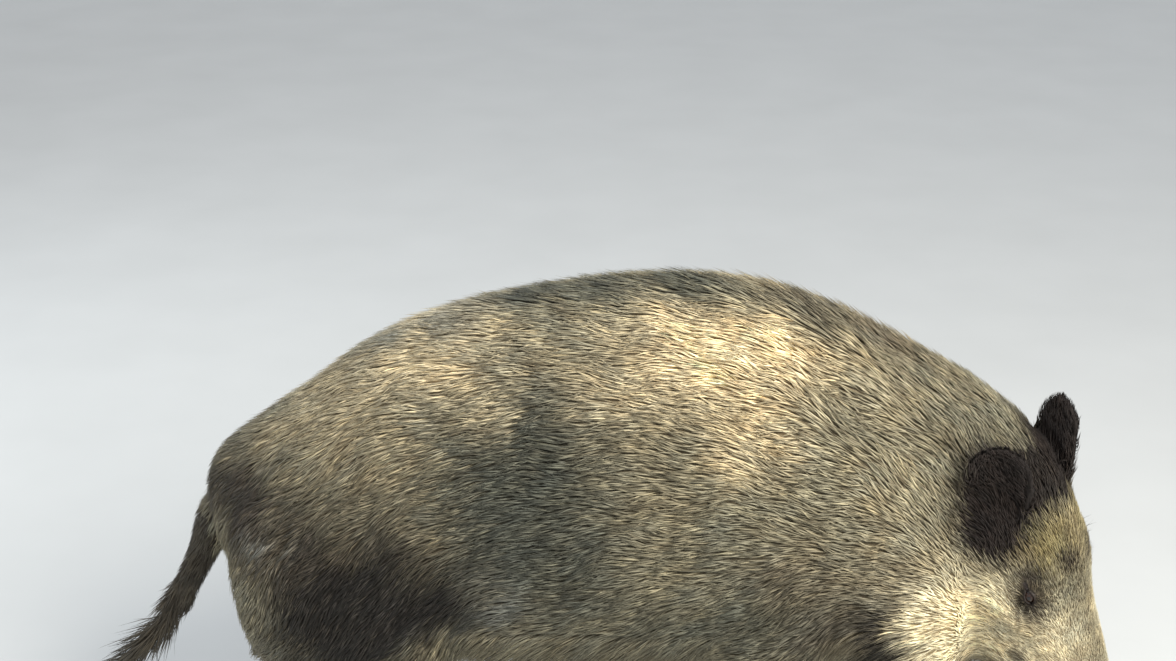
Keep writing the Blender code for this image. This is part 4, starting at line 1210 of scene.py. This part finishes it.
def scattered(points, faces, density):
    """Roots on a mesh as (places, faces, shares of the three corners). The running sum of density times
    area is cut into equal steps, and each step puts one root on the face that it falls in."""
    a, b, c = (points[faces[:, k]] for k in range(3))
    area = lengths_of(np.cross(b - a, c - a)) / 2
    total = np.cumsum(area * density[faces].mean(1))
    steps = np.arange(int(total[-1])) + chance.uniform(0.1, 0.9, int(total[-1]))
    face = np.minimum(np.searchsorted(total, steps), len(faces) - 1)
    root, other = np.sqrt(chance.random(len(face))), chance.random(len(face))
    share = np.stack([1 - root, root * (1 - other), root * other], 1)
    return np.einsum("ij,ijk->ik", share, points[faces[face]]), face, share


def nearest_on_skin(cloud):
    """The nearest point of the skin to each point, by a Shrinkwrap on a mesh of loose points."""
    work = new_piece("cloud", cloud, np.empty((0, 3), int))
    wrap = work.modifiers.new("wrap", "SHRINKWRAP")
    wrap.target = skin
    wrap.wrap_method = "NEAREST_SURFACEPOINT"
    graph = bpy.context.evaluated_depsgraph_get()
    found = np.empty(len(cloud) * 3, np.float32)
    work.evaluated_get(graph).to_mesh().vertices.foreach_get("co", found)
    bpy.data.objects.remove(work)
    return found.reshape(-1, 3).astype(float)


def combed(flow, normals, angle):
    """The flow laid flat on the surface, then turned about the normals by an angle."""
    flat = unit(flow - normals * (flow * normals).sum(1, keepdims=True))
    return flat * np.cos(angle)[:, None] + np.cross(normals, flat) * np.sin(angle)[:, None]


def next_on_skin(place, normal, way, reach):
    """One step of the given reach over the skin: out along the way, then back to the nearest skin. The
    new normal points from there to where the step ended, which is held above the skin."""
    probe = place + way * reach[:, None] + normal * PROBE
    found = nearest_on_skin(probe)
    rise = probe - found
    rise = unit(rise) * np.where((rise * normal).sum(1) < 0, -1, 1)[:, None]
    return found, unit(rise + 0.15 * normal)


density = np.interp(depth / MM, *zip(*COVER)) / (length * width * BELLY_OF_TUFT)
density *= bare < MOST_BARE
density *= points[:, 2] > HORN_BELOW
density *= np.where(is_of(part, "tail") & (points[:, 0] < TASSEL_FROM), TASSEL_COVER, 1)
root, face, share = scattered(points, faces, density)
normal = unit(np.einsum("ij,ijk->ik", share, normals[faces[face]]))
r_depth, r_length, r_width, r_flow, r_part = lie_of(root)
count = len(root)
print("tufts:", count, {name: int((r_part == k).sum()) for k, name in enumerate(PARTS)})

# %% The run of each tuft
HOOF_HAIR = (0.060, 0.085)  # below these heights longer hair falls over the horn
EYE_HAIR = (0.018, 0.030)  # nearer an eye than this the hair is short and lies neatly
TASSEL_LOW = 0.175  # the tassel's hair ends above this height
STRAY_SHARE = 0.05
BELLY_LOW, BELLY_HIGH = 0.25, 0.42  # the heights between which the belly's hair stands off
FRINGE_LOW, FRINGE_HIGH = 0.26, 0.43  # and between which it hangs down


def facing_down(low, high):
    """0 where the skin faces down by less than low, 1 by more than high."""
    return soft_step(-normal[:, 2], low, high)


r_length = r_length * chance.uniform(0.72, 1.22, count)
r_width = r_width * chance.uniform(0.70, 1.25, count)
at_hoof = 1 - soft_step(root[:, 2], *HOOF_HAIR)
r_length *= 1 + 0.7 * at_hoof
swirl = 0.20 * noise_at(root, 0.085, seed=5) + chance.normal(0, 0.11, count)
by_eye = 1 - soft_step(from_eyes(root), *EYE_HAIR)
r_length *= 1 - 0.38 * by_eye
swirl *= 1 - 0.7 * by_eye
way = combed(r_flow, normal, swirl)
middle, mid_normal = next_on_skin(root, normal, way, r_length * 0.5)
mid_way = combed(lie_of(middle)[3], mid_normal, swirl + chance.normal(0, 0.07, count))
end, end_normal = next_on_skin(middle, mid_normal, mid_way, r_length * 0.5)
free = is_of(r_part, "tail") & (root[:, 0] < TASSEL_FROM)
free_way = unit(way + 0.24 * normal + 0.13 * chance.normal(0, 1, (count, 3)))
run = np.minimum(r_length, (root[:, 0] - cad_box[0][0] - 0.002) / np.maximum(-free_way[:, 0], 0.05))
run = np.minimum(run, (root[:, 2] - TASSEL_LOW) / np.maximum(-free_way[:, 2], 0.05))
middle[free] = (root + free_way * (0.5 * run)[:, None])[free]
end[free] = (root + free_way * run[:, None])[free]
mid_normal[free], end_normal[free], mid_way[free] = normal[free], normal[free], free_way[free]
stray = chance.random(count) < STRAY_SHARE
lift = r_depth * (0.36 + 0.66 * chance.random(count) ** 0.85) * np.where(stray, 1.30, 1.0)
lift *= 1 + 0.9 * facing_down(0.25, 0.85) * (root[:, 2] < BELLY_HIGH) * (root[:, 2] > BELLY_LOW)
lift *= 1 + 1.2 * at_hoof
crest = (np.abs(root[:, 1]) < 0.035) & (root[:, 2] > 0.72) & (root[:, 0] > -0.25) & (root[:, 0] < 0.50)
lift *= np.where(crest, 1.25, 1.0)
lift = np.where(free, 0.1 * lift, lift)
r_width *= np.where(stray, 0.6, 1.0)
side_way = np.cross(mid_normal, mid_way)
middle = middle + mid_normal * (np.where(free, 0.02, 0.12) * r_depth + 0.42 * lift)[:, None]
tip = end + end_normal * lift[:, None] + side_way * (r_length * chance.normal(0, 0.05, count))[:, None]
fringe = facing_down(-0.10, 0.50) * (root[:, 2] < FRINGE_HIGH) * (root[:, 2] > FRINGE_LOW)
fringe *= is_of(r_part, "trunk", "neck")
middle[:, 2] -= 0.005 * fringe
tip[:, 2] -= 0.016 * fringe
tip[:, 2] -= 0.006 * at_hoof

# %% Lashes, brow hairs and whiskers
# place in head axes (ahead, out, above), spread, how many, way (ahead, out, above), length, width
LONG_HAIRS = (
    ((0.050, 0.070, 0.078), 0.007, 9, (-0.5, 0.8, 0.5), 0.026, 0.0007),
    ((0.120, 0.085, 0.020), 0.010, 7, (-0.6, 0.9, -0.1), 0.026, 0.0007),
    ((0.285, 0.050, -0.012), 0.014, 22, (-0.7, 0.8, -0.2), 0.022, 0.0006),
    ((0.245, 0.050, -0.018), 0.014, 16, (-0.8, 0.8, -0.3), 0.026, 0.0006),
    ((0.285, 0.025, -0.072), 0.014, 26, (-0.7, 0.3, -0.9), 0.026, 0.0007),
    ((0.225, 0.030, -0.090), 0.020, 30, (-0.8, 0.3, -0.8), 0.034, 0.0008),
    ((0.160, 0.035, -0.105), 0.022, 24, (-0.8, 0.3, -0.7), 0.038, 0.0009),
)
LASHES = 22


def long_hairs():
    """Places, ways, lengths and widths of the single long hairs of the face, in world axes. Lashes stand
    along the upper lid's edge and fan out towards its corners."""
    hairs = []
    across = np.linspace(-0.90, 0.90, LASHES)
    high = UPPER_OPEN * (1 - np.abs(across) ** LID_POWER) + 0.0012 - LID_TILT * across * EYE_LONG
    for side, sign in SIDES.items():
        out, along, up = eye_axes(side)
        edge = EYES[side] + (across * EYE_LONG)[:, None] * along + high[:, None] * up + 0.014 * out
        fan = unit(out + 0.45 * up + (0.5 * across - 0.25)[:, None] * along)
        hairs.append((edge, fan, 0.013 - 0.005 * across**2, np.full(LASHES, 0.0006)))
        mirror = np.array((1, sign, 1))
        for place, spread, many, way, length, width in LONG_HAIRS:
            place = from_head((place + chance.normal(0, spread, (many, 3)) * (1, 0.3, 0.7)) * mirror)
            way = unit(np.array(way) * mirror + chance.normal(0, 0.22, (many, 3))) @ HEAD_TURN
            hairs.append((place, way, length * chance.uniform(0.6, 1.2, many), np.full(many, width)))
    return (np.concatenate(column) for column in zip(*hairs))


long_at, long_way, long_length, long_width = long_hairs()
long_root = nearest_on_skin(long_at)
long_normal = unit(long_at - long_root)
facing = ((long_root - from_head((0.12, 0, -0.02))) * long_normal).sum(1)
long_normal *= np.where(facing < 0, -1, 1)[:, None]
long_way = unit(long_way + 0.25 * long_normal)
long_middle = long_root + long_way * (0.5 * long_length)[:, None]
droop = unit(long_way + np.array((0, 0, -0.35)))
long_tip = long_middle + droop * (0.5 * long_length)[:, None]
extra = len(long_root)
long_part = np.full(extra, PARTS.index("head"))
root, normal, way, middle, tip, mid_normal, side_way, r_width, r_part = (
    np.concatenate(pair) for pair in (
        (root, long_root), (normal, long_normal), (way, long_way), (middle, long_middle), (tip, long_tip),
        (mid_normal, long_normal), (side_way, unit(np.cross(long_normal, long_way))),
        (r_width, long_width), (r_part, long_part),
    )
)
is_long = np.arange(count + extra) >= count
count += extra
print("long hairs:", extra)

# %% Tufts that would lie over an eye, the snout, the lips or the floor are left out
FLOOR_CLEAR = 0.016
SNOUT_FROM = 0.3375
keep = tip[:, 2] > FLOOR_CLEAR
for side in SIDES:
    for spot in (middle, tip, (root + middle) / 2, (middle + tip) / 2):
        gap, on_eye = by_lids(spot, side, 0.03)
        keep &= is_long | ~((gap < 0.0012) & on_eye)
far, root_over, tip_over = in_head(root)[:, 0], over_mouth(in_head(root)), over_mouth(in_head(tip))
at_lips = (np.abs(root_over) < 0.020) & (far > 0.172)
at_lips &= (np.abs(root_over) < 0.0018) | (root_over * tip_over < 0)
keep &= is_long | ~(at_lips | (far >= SNOUT_FROM))
chosen = np.flatnonzero(keep)
print("kept", len(chosen))

# %% [markdown]
# ## Tufts as mesh
#
# Seven points make a tuft: three round the root, three round the bend and the tip. All tufts of one
# stretch of the body become one mesh. Each carries its marking's colour, its own tone and how far along
# it every point is. For baking, each tuft also has a small patch on a map named OFBake, at the place of
# its root when the stretch is unrolled like paper round its own axis.

# %% Building a stretch of coat
TUFT_FACES = np.array([
    (0, 1, 2), (0, 2, 5), (0, 5, 3), (2, 1, 4), (2, 4, 5),
    (1, 0, 3), (1, 3, 4), (3, 5, 6), (5, 4, 6), (4, 3, 6),
])
ALONG = np.array([0, 0, 0, 0.5, 0.5, 0.5, 1.0])
AROUND = np.array([0, 1, 0.5, 0, 1, 0.5, 0.5])
PATCH = 0.003  # the side of a tuft's patch, as a share of the map
MAP_EDGE = 0.004  # kept clear round the map
ROOT_SUNK = 0.0015


def tuft_points(some):
    """Seven points for each tuft: at the root 0.7 and at the bend 1 of its width across, with a ridge
    above, and the tip."""
    half = (r_width[some] / 2)[:, None]
    across_root, across_bend = np.cross(normal[some], way[some]), side_way[some]
    base, bend = root[some] - normal[some] * ROOT_SUNK, middle[some]
    return np.stack([
        base + across_root * half * 0.7, base - across_root * half * 0.7, base + normal[some] * half * 0.6,
        bend + across_bend * half, bend - across_bend * half, bend + mid_normal[some] * half * 0.5,
        tip[some],
    ], 1)


def unrolled(places, axis):
    """Places as (how far along an axis, angle round it), both from 0 to 1: a cylinder laid flat."""
    axis = unit(np.array(axis, float))
    first = unit(np.cross(axis, (0.0, 1.0, 0.0) if abs(axis[1]) < 0.9 else (1.0, 0.0, 0.0)))
    second = np.cross(axis, first)
    from_middle = places - places.mean(0)
    angle = np.arctan2(from_middle @ first, from_middle @ second)
    gaps = np.sort(angle)
    widest = np.argmax(np.diff(gaps, append=gaps[0] + 2 * np.pi))
    angle = (angle - gaps[(widest + 1) % len(gaps)]) % (2 * np.pi)
    flat = np.stack([from_middle @ axis, angle], 1)
    flat -= flat.min(0)
    return MAP_EDGE + flat / np.maximum(flat.max(0), 1e-9) * (1 - 2 * MAP_EDGE - PATCH)


def coat_piece(name, some, axis):
    """Some tufts as one piece. It returns how many triangles they have."""
    points = tuft_points(some).reshape(-1, 3)
    faces = (TUFT_FACES[None] + 7 * np.arange(len(some))[:, None, None]).reshape(-1, 3)
    faces = outward(points, faces)
    piece = new_piece(name, points, faces, BRISTLE)
    patch = unrolled(root[some], axis)[:, None, :] + PATCH * np.stack([AROUND, ALONG], 1)[None]
    layer = piece.data.uv_layers.new(name="OFBake")
    layer.data.foreach_set("uv", patch.reshape(-1, 2)[faces].astype(np.float32).ravel())
    add_attribute(piece, "mark", np.repeat(tuft_mark[some], 7, 0))
    add_attribute(piece, "tone", np.repeat(tone[some], 7))
    add_attribute(piece, "along", np.tile(ALONG, len(some)))
    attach(piece, "root")
    return len(faces)


tone = 0.5 + 0.5 * (0.50 * chance.uniform(-1, 1, count) + 0.60 * noise_at(root, 0.018, seed=9))
tone = np.clip(tone, 0, 1)
mottle = 1 + 0.15 * noise_at(root, 0.045, seed=11) + 0.16 * noise_at(root, 0.016, seed=13)
# the mark colour of each tuft carries the painted highlights and painted shade as well as the coat's colours
tuft_mark = markings_and_painted_light(middle + chance.normal(0, 0.005, (count, 3)), r_part)
tuft_mark *= (mottle * chance.normal(1, 0.05, count))[:, None]
tuft_mark *= 1 + noise_at(root, 0.055, seed=17)[:, None] * (0.025, -0.005, -0.045)
tuft_mark[is_long] = np.array(UMBER) * 0.6
tuft_mark = np.clip(tuft_mark, 0.002, 1)
SLICES = (-0.34, -0.17, 0, 0.16, 0.29)  # where the trunk's coat is cut into stretches
FACE_FROM = 0.10  # and the head's, ahead in its own axes
triangles = 0
for k, part_name in enumerate(PARTS):
    members = chosen[r_part[chosen] == k]
    if part_name == "trunk":
        slice_of = np.searchsorted(SLICES, root[members, 0]) * 2 + (root[members, 1] > 0)
        names = [f"coat_trunk_{k}_{side}" for k in range(len(SLICES) + 1) for side in ("right", "left")]
        stretches = [(name, members[slice_of == s]) for s, name in enumerate(names)]
        axis = (1, 0, 0)
    elif part_name in ("neck", "head"):
        placed = in_head(root[members])
        is_face = (placed[:, 0] > FACE_FROM) & (part_name == "head")
        stretches = []
        for area, here in ((part_name, ~is_face), ("face", is_face)):
            for side, sign in SIDES.items():
                stretches.append((f"coat_{area}_{side}", members[here & (placed[:, 1] * sign > 0)]))
        stretches = [(name, some) for name, some in stretches if len(some)]
        axis = ahead if part_name == "head" else (1, 0, 0)
    else:
        stretches = [("coat_" + part_name, members)]
        axis = (0.7, 0, -0.7) if part_name == "tail" else (0, 0, 1)
        if part_name.startswith("ear"):
            axis = (EAR_WAY * (1, SIDES[part_name[4:]], 1)) @ HEAD_TURN
    for name, some in stretches:
        made = coat_piece(name, some, axis)
        triangles += made
        print(name, made)
print("triangles in the coat:", triangles)

# %% [markdown]
# ## Floor, light and camera
#
# A plain pale floor, a soft bright room and one large lamp high over the boar's right shoulder, so that
# light rakes along the back as it does on a bright day. The camera looks down at its right side.

# %% Floor and light
def floor_finish():
    """Two pale greys mixed by noise about a third of a metre wide."""
    f = Finish("pale floor", Roughness=0.8, Specular_IOR_Level=0.2)
    f.feed("Base Color", f.mix(f.noise(3.0, 4.0), (0.50, 0.51, 0.50), (0.56, 0.57, 0.56)))
    return f.material


FLOOR_HALF = 14.0
corners = np.array([(-1, -1), (1, -1), (1, 1), (-1, 1)]) * FLOOR_HALF
floor = new_piece("floor", np.column_stack([corners, np.zeros(4)]), np.array([(0, 1, 2, 3)]), floor_finish())


def lamp(name, place, target, size, power, colour):
    """A round lamp that faces its target."""
    data = bpy.data.lights.new(name, "AREA")
    data.shape, data.size, data.energy, data.color = "DISK", size, power, colour
    piece = bpy.data.objects.new(name, data)
    piece.location = place
    x, y, z = np.array(target) - np.array(place)
    piece.rotation_euler = (math.atan2(math.hypot(x, y), -z), 0, math.atan2(x, -y) + math.pi)
    bpy.context.scene.collection.objects.link(piece)


lamp("key", (1.8, -2.2, 3.1), (0.10, 0, 0.55), 2.2, 225, (1.0, 0.96, 0.88))
lamp("fill", (-2.6, 1.4, 2.4), (0, 0, 0.6), 2.5, 45, (0.88, 0.94, 1.0))
ROOM_COLOUR, ROOM_STRENGTH = (0.92, 0.95, 1.0, 1), 0.84
world = bpy.data.worlds.new("room")
world.use_nodes = True
room = world.node_tree.nodes["Background"].inputs
room["Color"].default_value, room["Strength"].default_value = ROOM_COLOUR, ROOM_STRENGTH
bpy.context.scene.world = world

# %% Camera
CAMERA_AT = (0.0, -2.42, 1.80)
LOOKS_DOWN = math.radians(22)
SENSOR_WIDTH, LENS = 36.0, 55.10204  # in mm
camera_data = bpy.data.cameras.new("camera")
camera_data.sensor_width, camera_data.lens = SENSOR_WIDTH, LENS
camera = bpy.data.objects.new("camera", camera_data)
camera.location = CAMERA_AT
camera.rotation_euler = (math.pi / 2 - LOOKS_DOWN, 0, 0)
bpy.context.scene.collection.objects.link(camera)
bpy.context.scene.camera = camera
bpy.context.scene.view_settings.view_transform = "Standard"
